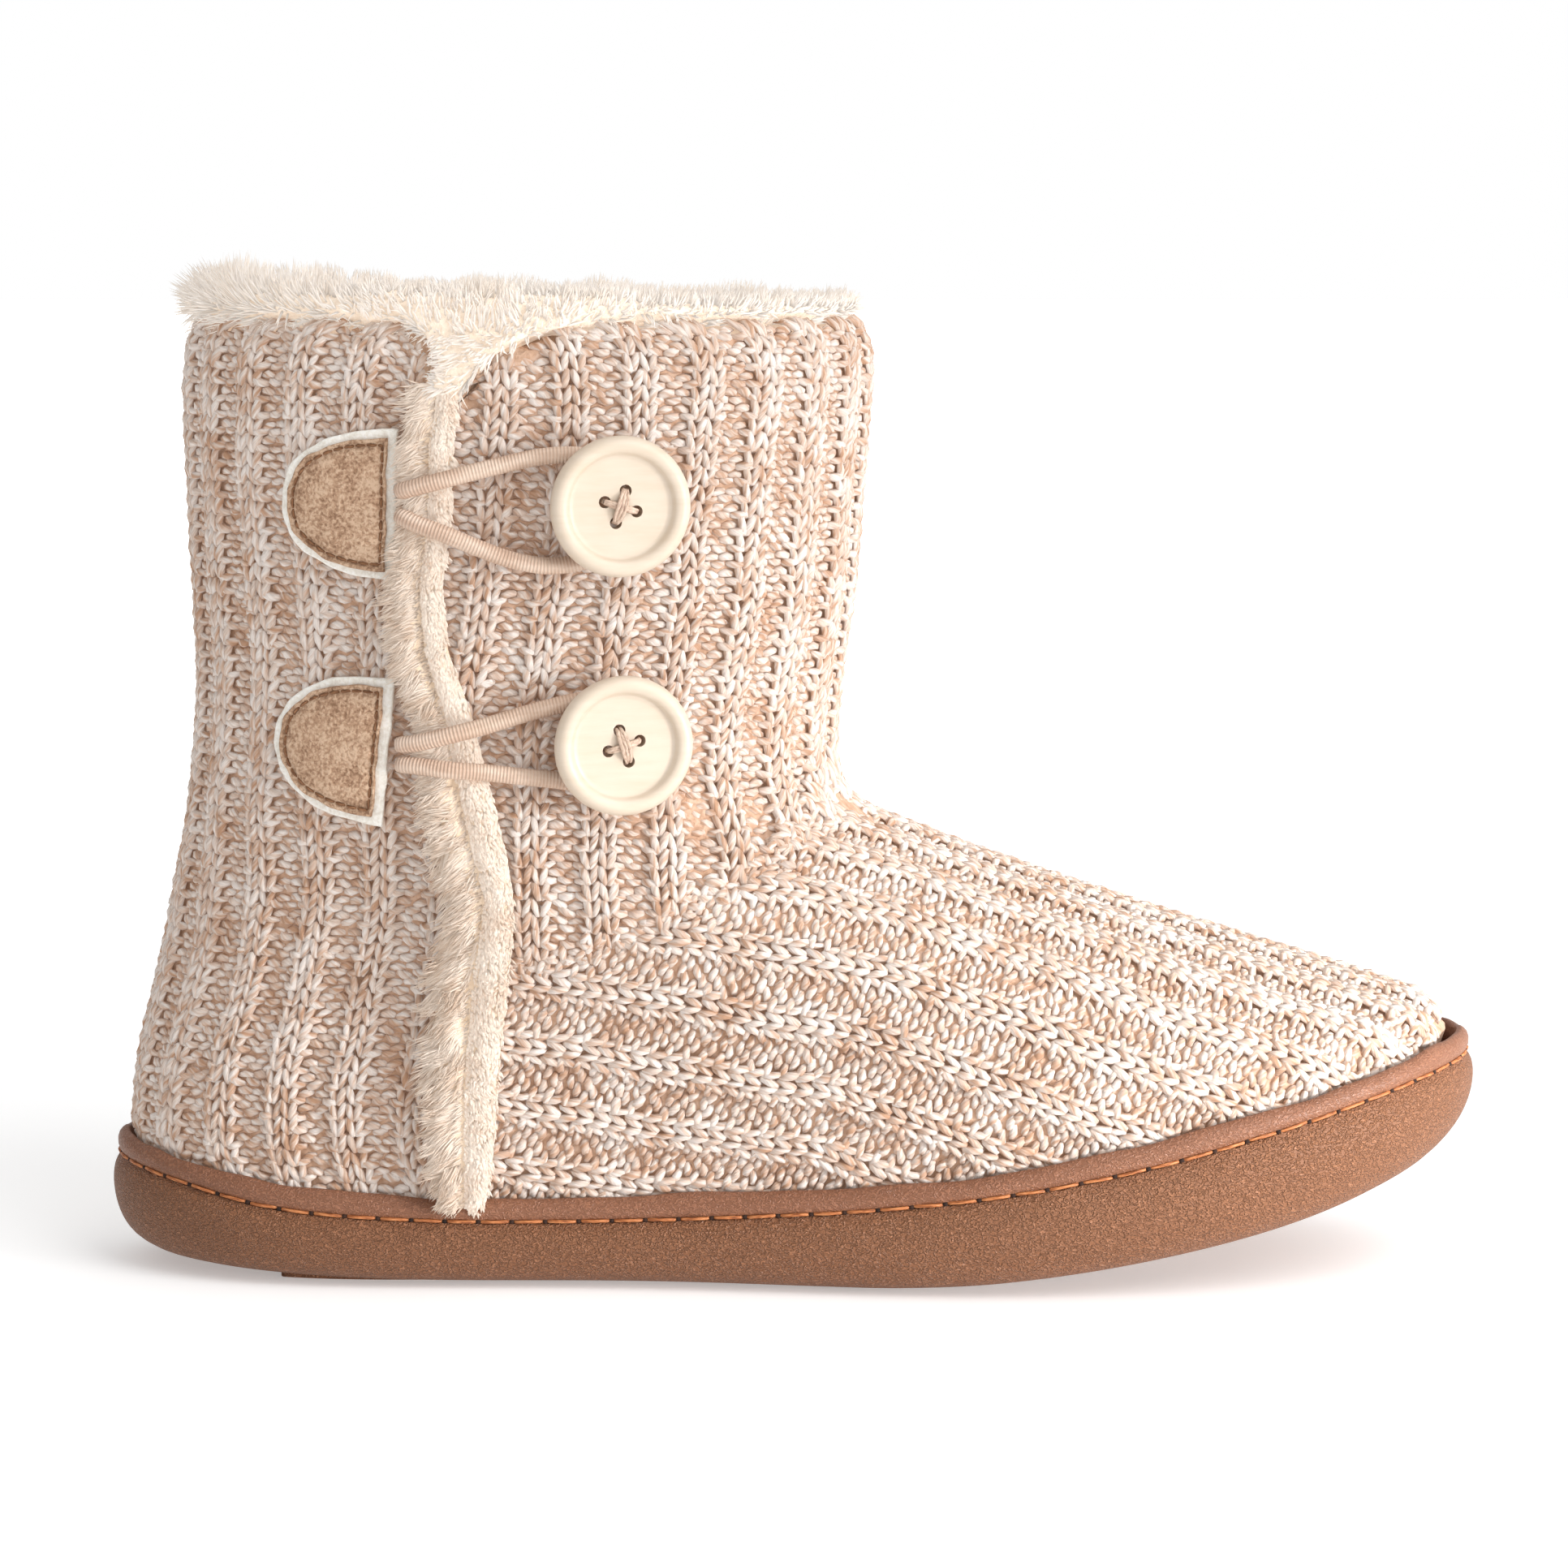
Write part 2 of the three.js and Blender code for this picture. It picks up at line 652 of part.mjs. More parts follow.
function tabSolid(tab, border, from, to) {
  const outline = tabOutline(border);
  const centre = -tabReach * tabCentre;
  const layer = (scale, offset) => outline.map(([a, b]) => {
    const across = centre + (a - centre) * scale;
    const place = new THREE.Vector2(across, b * scale).rotateAround(new THREE.Vector2(), -tab.lean);
    return sidePoint(sideX(tab.edge) + place.x, sideZ(tab.middle) + place.y, offset);
  });
  const scales = [0.2, 0.6, 1];
  const under = scales.map((scale) => layer(scale, from));
  const over = [...scales].reverse().map((scale) => layer(scale, to));
  return loft([...under, ...over], true);
}

const backingTop = clearance + tabBackingThickness;
const facingBottom = backingTop + clearance;
const facingTop = facingBottom + tabFacingThickness;

// Buttons as shares in the side view, turned about their own axis
const buttons = {
  upper: { x: 0.1354, z: 0.8231, turn: -0.27 },
  lower: { x: 0.1362, z: 0.5803, turn: -0.27 },
};
const buttonSegments = 30;
const holeCount = 4;
const holeRadius = 1.1;
const holeCircle = 3;
const holeSides = 8;
const recessShare = 0.7;
const shankRadius = 1.5;
const shankSides = 12;
const threadSides = 8;

function discAt(radius, height, x, y, z, sides) {
  const disc = new THREE.CylinderGeometry(radius, radius, height, sides);
  disc.rotateX(Math.PI / 2);
  disc.translate(x, y, z);
  return manifoldOf(disc);
}

function holePlaces(turn) {
  return Array.from({ length: holeCount }, (_, hole) => {
    const angle = turn + (hole / holeCount) * 2 * Math.PI;
    return [holeCircle * Math.cos(angle), holeCircle * Math.sin(angle)];
  });
}

// The button's section as shares of its radius and thickness, back face first
const buttonProfile = [
  { r: 0, z: 0 },
  { r: 0.83, z: 0 },
  { r: 0.95, z: 0.2 },
  { r: 1, z: 0.48 },
  { r: 0.965, z: 0.8 },
  { r: 0.88, z: 0.98 },
  { r: 0.8, z: 0.96 },
  { r: 0.735, z: 0.8 },
  { r: 0.7, z: recessShare },
  { r: 0, z: recessShare },
];

function buttonSolid(button) {
  const profile = buttonProfile.map(({ r, z }) => {
    return new THREE.Vector2((r * buttonDiameter) / 2, z * buttonThickness);
  });
  const turned = new THREE.LatheGeometry(profile, buttonSegments);
  turned.rotateX(Math.PI / 2);
  let solid = manifoldOf(turned);
  for (const [x, y] of holePlaces(button.turn)) {
    solid = solid.subtract(discAt(holeRadius, 3 * buttonThickness, x, y, 0, holeSides));
  }
  return solid;
}

function threadSolid(button) {
  const radius = threadDiameter / 2;
  const crossZ = recessShare * buttonThickness + clearance + radius;
  const plateZ = -clearance - radius;
  const shankBottom = -buttonStandoff + clearance;
  const shankHeight = plateZ - shankBottom;
  let solid = discAt(holeCircle + radius, 2 * radius, 0, 0, plateZ, shankSides);
  const shank = discAt(shankRadius, shankHeight, 0, 0, shankBottom + shankHeight / 2, shankSides);
  solid = solid.add(shank);
  for (const [x, y] of holePlaces(button.turn)) {
    solid = solid.add(discAt(radius, crossZ - plateZ, x, y, (crossZ + plateZ) / 2, threadSides));
    const bar = new THREE.CylinderGeometry(radius, radius, holeCircle + radius, threadSides);
    bar.translate(0, (holeCircle + radius) / 2, 0);
    bar.rotateZ(Math.atan2(y, x) - Math.PI / 2);
    bar.translate(0, 0, crossZ);
    solid = solid.add(manifoldOf(bar));
  }
  return solid;
}

// Routes of the elastic loops from the tab, round the button's shank and back: across and up
// from the button's middle in the side view, and the height of the cord's middle over the knit
const loopRoutes = {
  upper: [
    [-38, 2.1, 3.1], [-34.6, 3, 4.1], [-29.6, 4.4, 4], [-21.6, 6.5, 2.6],
    [-11.6, 8.6, 2.3], [-3.6, 8.2, 2.2], [2.4, 4.5, 2.2], [4.6, -0.7, 2.2],
    [2.4, -5.9, 2.2], [-3.1, -9.5, 2.2], [-10.6, -11.1, 2.3], [-17.6, -10.1, 2.5],
    [-23.6, -7.9, 3.1], [-29.6, -5.2, 4], [-34.6, -3.3, 4.1], [-38, -1.7, 3.1],
  ],
  lower: [
    [-38.7, -0.6, 3.1], [-34.7, 0, 3.9], [-28.7, 1.6, 4.1], [-22.7, 3.2, 2.9],
    [-12.7, 6.2, 2.3], [-4.7, 7.6, 2.2], [2.3, 5.2, 2.2], [4.7, -0.2, 2.2],
    [2.3, -5.6, 2.2], [-4.7, -7.4, 2.2], [-12.7, -6.6, 2.3], [-22.7, -5.4, 2.9],
    [-28.7, -4.8, 4.1], [-34.7, -4.2, 3.9], [-38.7, -4, 3.1],
  ],
};
const cordSides = 8;
const cordSteps = 40;

function loopGeometry(route, button) {
  const path = new THREE.CatmullRomCurve3(route.map(([across, up, lift]) => {
    return sidePoint(sideX(button.x) + across, sideZ(button.z) + up, lift);
  }));
  const section = new THREE.Shape(Array.from({ length: cordSides }, (_, side) => {
    const angle = (side / cordSides) * 2 * Math.PI;
    return new THREE.Vector2(Math.cos(angle), Math.sin(angle)).multiplyScalar(cordDiameter / 2);
  }));
  return new THREE.ExtrudeGeometry(section, { steps: cordSteps, extrudePath: path });
}

function finish(color, roughness) {
  return new THREE.MeshStandardMaterial({ color, roughness, metalness: 0 });
}

const rubber = finish(0xa06a4b, 0.7);
const binding = finish(0xa06e55, 0.6);
const knit = finish(0xd8c0ac, 0.95);
const pile = finish(0xf2e6d6, 0.95);
const felt = finish(0xe6e0d4, 0.9);
const suede = finish(0xb99173, 0.9);
const elastic = finish(0xd7b59b, 0.8);
const turned = finish(0xf4e6c4, 0.45);
const thread = finish(0xc9a58d, 0.8);
const fleece = finish(0xe9dcc8, 0.95);

const boot = new THREE.Group();

function place(name, geometry, material) {
  const mesh = new THREE.Mesh(geometry, material);
  mesh.name = name;
  boot.add(mesh);
  return mesh;
}

place('outsole', geometryOf(outsoleSolid()), rubber);
place('welt', geometryOf(weltSolid()), binding);
place('insole', geometryOf(insoleSolid()), fleece);
place('upper', geometryOf(upperSolid()), knit);
place('fur_collar', geometryOf(furCollarSolid()), pile);
place('fur_placket', geometryOf(furPlacketSolid()), pile);

for (const [where, tab] of Object.entries(tabs)) {
  place(`tab_backing_${where}`, geometryOf(tabSolid(tab, 0, clearance, backingTop)), felt);
  place(`tab_facing_${where}`, geometryOf(tabSolid(tab, tabBorder, facingBottom, facingTop)), suede);
  place(`elastic_loop_${where}`, loopGeometry(loopRoutes[where], buttons[where]), elastic);
}

for (const [where, button] of Object.entries(buttons)) {
  const { level, angle } = sidePlace(sideX(button.x), sideZ(button.z));
  const facing = new THREE.Quaternion();
  facing.setFromUnitVectors(new THREE.Vector3(0, 0, 1), surfaceNormal(level, angle));
  for (const mesh of [
    place(`button_${where}`, geometryOf(buttonSolid(button)), turned),
    place(`button_thread_${where}`, geometryOf(threadSolid(button)), thread),
  ]) {
    mesh.position.copy(offsetPoint(level, angle, buttonStandoff));
    mesh.quaternion.copy(facing);
  }
}

// The origin goes to the middle of the box round the boot, at floor level
boot.updateMatrixWorld(true);
const box = new THREE.Box3().setFromObject(boot, true);
boot.position.set(-(box.min.x + box.max.x) / 2, -(box.min.y + box.max.y) / 2, -box.min.z);

export default boot;
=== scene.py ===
import math

import bmesh
import bpy
import numpy as np
from mathutils import Matrix, Vector
from mathutils.bvhtree import BVHTree


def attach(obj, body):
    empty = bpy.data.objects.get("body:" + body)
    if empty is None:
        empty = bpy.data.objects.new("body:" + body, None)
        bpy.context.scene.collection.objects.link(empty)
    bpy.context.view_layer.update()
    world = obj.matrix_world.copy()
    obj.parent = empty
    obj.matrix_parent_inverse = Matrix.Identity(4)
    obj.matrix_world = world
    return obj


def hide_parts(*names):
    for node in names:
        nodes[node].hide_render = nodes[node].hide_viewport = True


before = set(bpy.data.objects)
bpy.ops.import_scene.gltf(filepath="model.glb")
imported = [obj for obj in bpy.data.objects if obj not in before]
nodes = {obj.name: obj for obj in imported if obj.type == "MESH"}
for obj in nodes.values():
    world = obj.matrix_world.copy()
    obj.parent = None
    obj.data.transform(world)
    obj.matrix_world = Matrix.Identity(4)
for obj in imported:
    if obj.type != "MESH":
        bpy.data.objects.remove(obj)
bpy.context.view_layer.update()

# The camera. It stands a metre off the outer side of the boot, a little over the collar, and
# looks slightly down, as in the photograph. Its lens is measured in pixels of that image.
IMAGE_PIXELS = 1932
LENS_PIXELS = 6563
TILT_DEGREES = 6.35
camera = bpy.data.objects.new("camera", bpy.data.cameras.new("camera"))
camera.data.sensor_width = 36
camera.data.lens = camera.data.sensor_width * LENS_PIXELS / IMAGE_PIXELS
camera.location = (-0.00185, -0.99677, 0.2015)
camera.rotation_euler = (math.radians(90 - TILT_DEGREES), 0, 0)
camera.data.clip_start = 0.05
bpy.context.scene.collection.objects.link(camera)
bpy.context.scene.camera = camera


# The outsole, a soft moulded rubber sole with a rounded edge, toe spring, two flat pads that
# it stands on and groups of small studs. Lengths here and below are millimetres from the heel.
FOOT_LENGTH = 258.5
BALL_WIDTH = 96.0
SOLE_EDGE = 12.6
HEEL_KICK = 8.2
TOE_KICK = 27.2
TOE_SPRING = 24.5
TREAD_DEPTH = 0.6
HEEL_TO_MIDDLE = np.array((-129.25, 3.234, 0.0))
TREAD_PADS = ((0.13, 0.31), (0.43, 0.58))
TREAD_INSET = 13.0
STUD_ROWS = (0.7, 0.77, 0.84, 0.9)
STUD_COLUMNS = (0.12, 0.5, 0.88)
STUD_PITCH = 2.3
STUD_RADIUS = 0.95
STUD_HEIGHT = 1.9
STUD_SIDES = 14
SOLE_AT = (0, 0.05, 0.13, 0.22, 0.3, 0.4, 0.52, 0.58, 0.65, 0.75, 0.86, 0.95, 1)
HEEL_RISE = (1, 0.74, 0.25, 0.05, 0, 0, 0, 0, 0, 0, 0, 0, 0)
TOE_RISE = (0, 0, 0, 0, 0, 0.025, 0.1, 0.16, 0.25, 0.43, 0.69, 0.91, 1)
SPRING = (0.12, 0.085, 0.045, 0.012, 0, 0, 0, 0.01, 0.065, 0.22, 0.47, 0.77, 1)
PLAN_AT = (0, 0.35, 0.7, 1)
PLAN_HALF = (0.6, 0.4, 0.55, 0.69)


def smooth_curve(at, xs, ys):
    """Smooth curve through the points (xs, ys), with the slopes that the neighbours give."""
    at, xs, ys = (np.asarray(values, float) for values in (at, xs, ys))
    before = np.r_[0, np.arange(len(xs) - 1)]
    after = np.r_[np.arange(1, len(xs)), len(xs) - 1]
    slope = (ys[after] - ys[before]) / (xs[after] - xs[before])
    i = np.clip(np.searchsorted(xs, at) - 1, 0, len(xs) - 2)
    span = xs[i + 1] - xs[i]
    t = np.clip((at - xs[i]) / span, 0, 1)
    rise = (2 * t**3 - 3 * t**2 + 1) * ys[i] + (3 * t**2 - 2 * t**3) * ys[i + 1]
    return rise + span * ((t**3 - 2 * t**2 + t) * slope[i] + (t**3 - t**2) * slope[i + 1])


def sole_top(x):
    """Height of the sole's top edge, which rises at the heel and over the toe."""
    share = np.asarray(x) / FOOT_LENGTH
    heel = smooth_curve(share, SOLE_AT, HEEL_RISE)
    toe = smooth_curve(share, SOLE_AT, TOE_RISE)
    return SOLE_EDGE + heel * HEEL_KICK + toe * TOE_KICK


def sole_bottom(x):
    """Height of the sole's underside, which lifts at the heel and springs up at the toe."""
    return TREAD_DEPTH + smooth_curve(np.asarray(x) / FOOT_LENGTH, SOLE_AT, SPRING) * TOE_SPRING


def sole_plan(angle, inset):
    """Plan of the sole drawn in by inset: angle 0 at the heel, pi / 2 on the outer side."""
    share = (1 - np.cos(angle)) / 2
    half = smooth_curve(share, PLAN_AT, [full * BALL_WIDTH for full in PLAN_HALF]) - inset
    waist = np.exp(-(((share - 0.38) / 0.17) ** 2))
    half = half * np.where(np.sin(angle) < 0, 1 - 0.12 * waist, 1)
    x = inset + share * (FOOT_LENGTH - 2 * inset)
    return x, 0.04 * BALL_WIDTH * share**2 - np.sin(angle) * half


def piece(name, points, face_sets, slot, stands_for):
    """Mesh object from points in millimetres and arrays of faces, riding on the boot."""
    mesh = bpy.data.meshes.new(name)
    points = (np.asarray(points, float) + HEEL_TO_MIDDLE) * 0.001
    mesh.vertices.add(len(points))
    mesh.vertices.foreach_set("co", points.astype(np.float32).ravel())
    corners = np.concatenate([faces.ravel() for faces in face_sets]).astype(np.int32)
    sizes = np.concatenate([np.full(len(faces), faces.shape[1]) for faces in face_sets])
    mesh.loops.add(len(corners))
    mesh.loops.foreach_set("vertex_index", corners)
    mesh.polygons.add(len(sizes))
    starts = np.r_[0, np.cumsum(sizes)[:-1]].astype(np.int32)
    mesh.polygons.foreach_set("loop_start", starts)
    mesh.update(calc_edges=True)
    mesh.polygons.foreach_set("use_smooth", np.ones(len(sizes), bool))
    obj = bpy.data.objects.new(name, mesh)
    bpy.context.scene.collection.objects.link(obj)
    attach(obj, "root")
    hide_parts(*stands_for)
    return obj


def ring_faces(rows, columns):
    """Quads between rings of points, each ring closed round."""
    row, column = np.meshgrid(np.arange(rows - 1), np.arange(columns), indexing="ij")
    follow = (column + 1) % columns
    a = row * columns + column
    b = row * columns + follow
    return np.stack((a, b, b + columns, a + columns), axis=-1).reshape(-1, 4)


def material(name, roughness=0.8, **values):
    """Principled material, its tree and its shader node. Values are set on the sockets."""
    made = bpy.data.materials.new(name)
    made.use_nodes = True
    shader = made.node_tree.nodes["Principled BSDF"]
    shader.inputs["Roughness"].default_value = roughness
    for socket, value in values.items():
        shader.inputs[socket.replace("_", " ")].default_value = value
    return made, made.node_tree, shader


def add_node(tree, kind, inputs=None, **settings):
    """Node of one kind with its settings, and its inputs set or linked."""
    node = tree.nodes.new(kind)
    for key, value in settings.items():
        setattr(node, key, value)
    for key, value in (inputs or {}).items():
        if isinstance(value, bpy.types.NodeSocket):
            tree.links.new(value, node.inputs[key])
        else:
            node.inputs[key].default_value = value
    return node


def shades(tree, value, stops):
    """Colour ramp over a value, from (position, sRGB colour 0-255) stops."""
    ramp = add_node(tree, "ShaderNodeValToRGB", {"Fac": value})
    while len(ramp.color_ramp.elements) < len(stops):
        ramp.color_ramp.elements.new(0.5)
    for element, (position, colour) in zip(ramp.color_ramp.elements, stops):
        element.position = position
        element.color = (*[(channel / 255) ** 2.2 for channel in colour], 1)
    return ramp.outputs["Color"]


def shared_effect(name, value_in, values_out, normal_out=None):
    """Node group with its sockets, and the sockets of its input and output nodes."""
    group = bpy.data.node_groups.new(name, "ShaderNodeTree")
    group.interface.new_socket(value_in, in_out="INPUT", socket_type="NodeSocketFloat")
    for socket in values_out:
        group.interface.new_socket(socket, in_out="OUTPUT", socket_type="NodeSocketFloat")
    if normal_out:
        group.interface.new_socket(normal_out, in_out="OUTPUT", socket_type="NodeSocketVector")
    start = group.nodes.new("NodeGroupInput").outputs
    end = group.nodes.new("NodeGroupOutput").inputs
    return group, start, end


def grain_group():
    """Pebbled grain: a mask of the pebbles, and soft patches of wear."""
    group, start, end = shared_effect("pebbled grain", "Pebbles per metre", ("Height", "Patches"))
    spot = add_node(group, "ShaderNodeTexCoord").outputs["Object"]
    drawn = add_node(group, "ShaderNodeVectorMath", {0: spot, 1: (0.7, 0.7, 1.15)},
                     operation="MULTIPLY")
    folds = add_node(group, "ShaderNodeTexNoise", {
        "Vector": drawn.outputs[0], "Scale": start["Pebbles per metre"], "Detail": 1,
        "Distortion": 0.5})
    off = add_node(group, "ShaderNodeMath", {0: folds.outputs["Fac"], 1: 0.5}, operation="SUBTRACT")
    away = add_node(group, "ShaderNodeMath", {0: off.outputs[0]}, operation="ABSOLUTE")
    ridge = add_node(group, "ShaderNodeMapRange", {
        "Value": away.outputs[0], "From Min": 0.0, "From Max": 0.12, "To Min": 1, "To Max": 0},
        interpolation_type="SMOOTHSTEP")
    fine = add_node(group, "ShaderNodeTexNoise", {"Vector": spot, "Scale": 3600, "Detail": 2})
    height = add_node(group, "ShaderNodeMath", {
        0: fine.outputs["Fac"], 1: 0.35, 2: ridge.outputs[0]}, operation="MULTIPLY_ADD")
    patches = add_node(group, "ShaderNodeTexNoise", {"Vector": spot, "Scale": 55, "Detail": 4})
    group.links.new(height.outputs[0], end["Height"])
    faint = add_node(group, "ShaderNodeMath", {0: patches.outputs["Fac"], 1: 0.08, 2: 0.2},
                     operation="MULTIPLY_ADD")
    group.links.new(faint.outputs[0], end["Patches"])
    return group


grain = grain_group()


def grained(name, pebbles, stops, depth, roughness, **values):
    """Soft rubber or leather with pebbled grain. The pebbles' ridges are painted lighter and their
    hollows darker, painted highlight and shade, over soft patches.
    """
    made, tree, shader = material(name, roughness, **values)
    pebbled = add_node(tree, "ShaderNodeGroup", {"Pebbles per metre": pebbles}, node_tree=grain)
    # Painted highlight and shade: the colour follows the pebbles' height, lighter on ridges and
    # darker in hollows, over soft patches.
    ridge_highlight_and_patches = add_node(tree, "ShaderNodeMath", {
        0: pebbled.outputs["Height"], 1: 0.34, 2: pebbled.outputs["Patches"]},
        operation="MULTIPLY_ADD")
    tree.links.new(shades(tree, ridge_highlight_and_patches.outputs[0], stops), shader.inputs["Base Color"])
    rough = add_node(tree, "ShaderNodeMapRange", {
        "Value": pebbled.outputs["Height"], "To Min": roughness + 0.08, "To Max": roughness - 0.05})
    tree.links.new(rough.outputs[0], shader.inputs["Roughness"])
    bump = add_node(tree, "ShaderNodeBump", {
        "Height": pebbled.outputs["Height"], "Strength": 0.9, "Distance": depth})
    tree.links.new(bump.outputs[0], shader.inputs["Normal"])
    return made


rubber = grained("moulded rubber", 1500, [
    (0.28, (126, 82, 54)), (0.45, (138, 91, 61)), (0.65, (151, 101, 70))], 0.0005, 0.55)

SOLE_STEPS = 420
SOLE_UP = (-0.001, 0, 0.05, 0.18, 0.38, 0.64, 0.86, 1)
SOLE_IN = (12, 9, 6, 2.9, 0.9, 0, 0.3, 1.5)
around = np.linspace(0, 2 * math.pi, SOLE_STEPS, endpoint=False)


def outsole_mesh():
    """The sole as rings from its underside, up the rounded side wall and in over its top."""
    rings = []
    for inset in (40, 28, 18):
        x, y = sole_plan(around, inset)
        rings.append(np.stack((x, y, sole_bottom(x)), axis=-1))
    for up in np.r_[0, 0.012, np.linspace(0.04, 0.96, 18), 0.985, 1]:
        inset = smooth_curve(up, SOLE_UP[1:], SOLE_IN[1:])
        x, y = sole_plan(around, float(inset))
        rings.append(np.stack((x, y, sole_bottom(x) + up * (sole_top(x) - sole_bottom(x))), axis=-1))
    for inset in (2.6, 6, 20, 40):
        x, y = sole_plan(around, inset)
        drop = 0.5 if inset < 3 else 0.9
        rings.append(np.stack((x, y, sole_top(x) - drop), axis=-1))
    points = np.concatenate(rings)
    faces = [ring_faces(len(rings), SOLE_STEPS)[:, ::-1]]
    half = SOLE_STEPS // 2
    for first, flip in ((0, False), ((len(rings) - 1) * SOLE_STEPS, True)):
        step = np.arange(1, half - 1)
        strip = np.stack((step, step + 1, SOLE_STEPS - step - 1, SOLE_STEPS - step), axis=-1)
        ends = np.array(((0, 1, SOLE_STEPS - 1), (half, half + 1, half - 1)))
        faces += [first + (part[:, ::-1] if flip else part) for part in (strip, ends)]
    return points, faces


def tread_edges(x):
    """Outer and inner edge of the tread at x."""
    angle = np.arccos(1 - 2 * (x - TREAD_INSET) / (FOOT_LENGTH - 2 * TREAD_INSET))
    return sole_plan(angle, TREAD_INSET)[1], sole_plan(2 * math.pi - angle, TREAD_INSET)[1]


def tread_pad(start, stop):
    """A flat pad with a rounded rim, let into the sole's bottom."""
    x = np.linspace(start, stop, 40) * FOOT_LENGTH
    outer, inner = tread_edges(x)
    outline = np.concatenate((np.stack((x, outer), -1), np.stack((x, inner), -1)[::-1]))
    middle = outline.mean(axis=0)
    rings = []
    for shrink, height in ((0, 2.4), (0, 0.35), (0.35, 0.08), (0.9, 0), (20, 0)):
        reach = np.linalg.norm(outline - middle, axis=1, keepdims=True)
        drawn = middle + (outline - middle) * np.maximum(1 - shrink / reach, 0.02)
        rings.append(np.column_stack((drawn, np.full(len(drawn), height))))
    points = np.concatenate(rings)
    count = len(outline)
    lid = np.arange(count)[None, :]
    return points, [ring_faces(len(rings), count), lid[:, ::-1], lid + count * (len(rings) - 1)]


def stud(x, y):
    """A small conical stud with a rounded tip, sunk half a millimetre into the sole."""
    angle = np.linspace(0, 2 * math.pi, STUD_SIDES, endpoint=False)
    base = float(sole_bottom(x)) + 0.5
    rings = []
    for share, drop in ((1, 0), (0.95, 0.5), (0.6, 0.82), (0.38, 0.95), (0.16, 1)):
        radius = STUD_RADIUS * share
        rings.append(np.column_stack((
            x + radius * np.cos(angle), y + radius * np.sin(angle),
            np.full(STUD_SIDES, base - drop * (STUD_HEIGHT + 0.5)))))
    lid = np.arange(STUD_SIDES)[None, :]
    tip = lid + STUD_SIDES * (len(rings) - 1)
    return np.concatenate(rings), [
        ring_faces(len(rings), STUD_SIDES)[:, ::-1], lid, tip[:, ::-1]]


def joined(parts):
    """Several point and face sets as one, with the faces gathered by their corner count."""
    points, sets, first = [], {}, 0
    for part_points, part_faces in parts:
        for faces in part_faces:
            sets.setdefault(faces.shape[1], []).append(faces + first)
        points.append(part_points)
        first += len(part_points)
    return np.concatenate(points), [np.concatenate(faces) for faces in sets.values()]


sole_parts = [outsole_mesh()]
sole_parts += [tread_pad(start, stop) for start, stop in TREAD_PADS]
for along in STUD_ROWS:
    outer, inner = tread_edges(along * FOOT_LENGTH)
    for across in STUD_COLUMNS:
        for shift in (-STUD_PITCH, 0, STUD_PITCH):
            sole_parts.append(stud(along * FOOT_LENGTH + shift, outer + across * (inner - outer)))
sole = piece("sole", *joined(sole_parts), slot="sole_rubber", stands_for=("outsole",))
sole.data.materials.append(rubber)


# The welt, a folded strip of thin smooth leather sewn round the knit's bottom edge, with the
# stitches that hold it to the sole lying in the groove between the two.
WELT_RISE = 4.3
WELT_SECTION = ((-0.9, 3.2), (-0.5, 2.3), (0.05, 1.75), (0.5, 1.2), (1.2, 0.92), (2.1, 0.9),
                (3.0, 1.2), (3.7, 1.75), (4.15, 2.3), (4.3, 2.75), (4.2, 3.1), (3.7, 3.3),
                (2.0, 3.45), (-0.9, 3.7))
welt_leather = grained("welt leather", 1700, [
    (0.3, (126, 83, 60)), (0.5, (138, 92, 68)), (0.7, (151, 103, 77))], 0.00012, 0.45)


def welt_mesh():
    """The strip's section swept round the sole, with a free edge that wavers a little."""
    rings = []
    for rise, inset in WELT_SECTION:
        x, y = sole_plan(around, inset)
        wave = 0.3 * np.sin(9 * around + 1) + 0.16 * np.sin(23 * around) + 0.1 * np.sin(41 * around)
        lift = rise + wave * max(rise, 0) / WELT_RISE
        rings.append(np.stack((x, y, sole_top(x) + lift + 0.3), axis=-1))
    rings.append(rings[0])
    count = len(rings) - 1
    faces = ring_faces(count + 1, SOLE_STEPS) % (count * SOLE_STEPS)
    return np.concatenate(rings[:-1]), [faces[:, ::-1]]


welt = piece("welt_strip", *welt_mesh(), slot="welt_leather", stands_for=("welt",))
welt.data.materials.append(welt_leather)


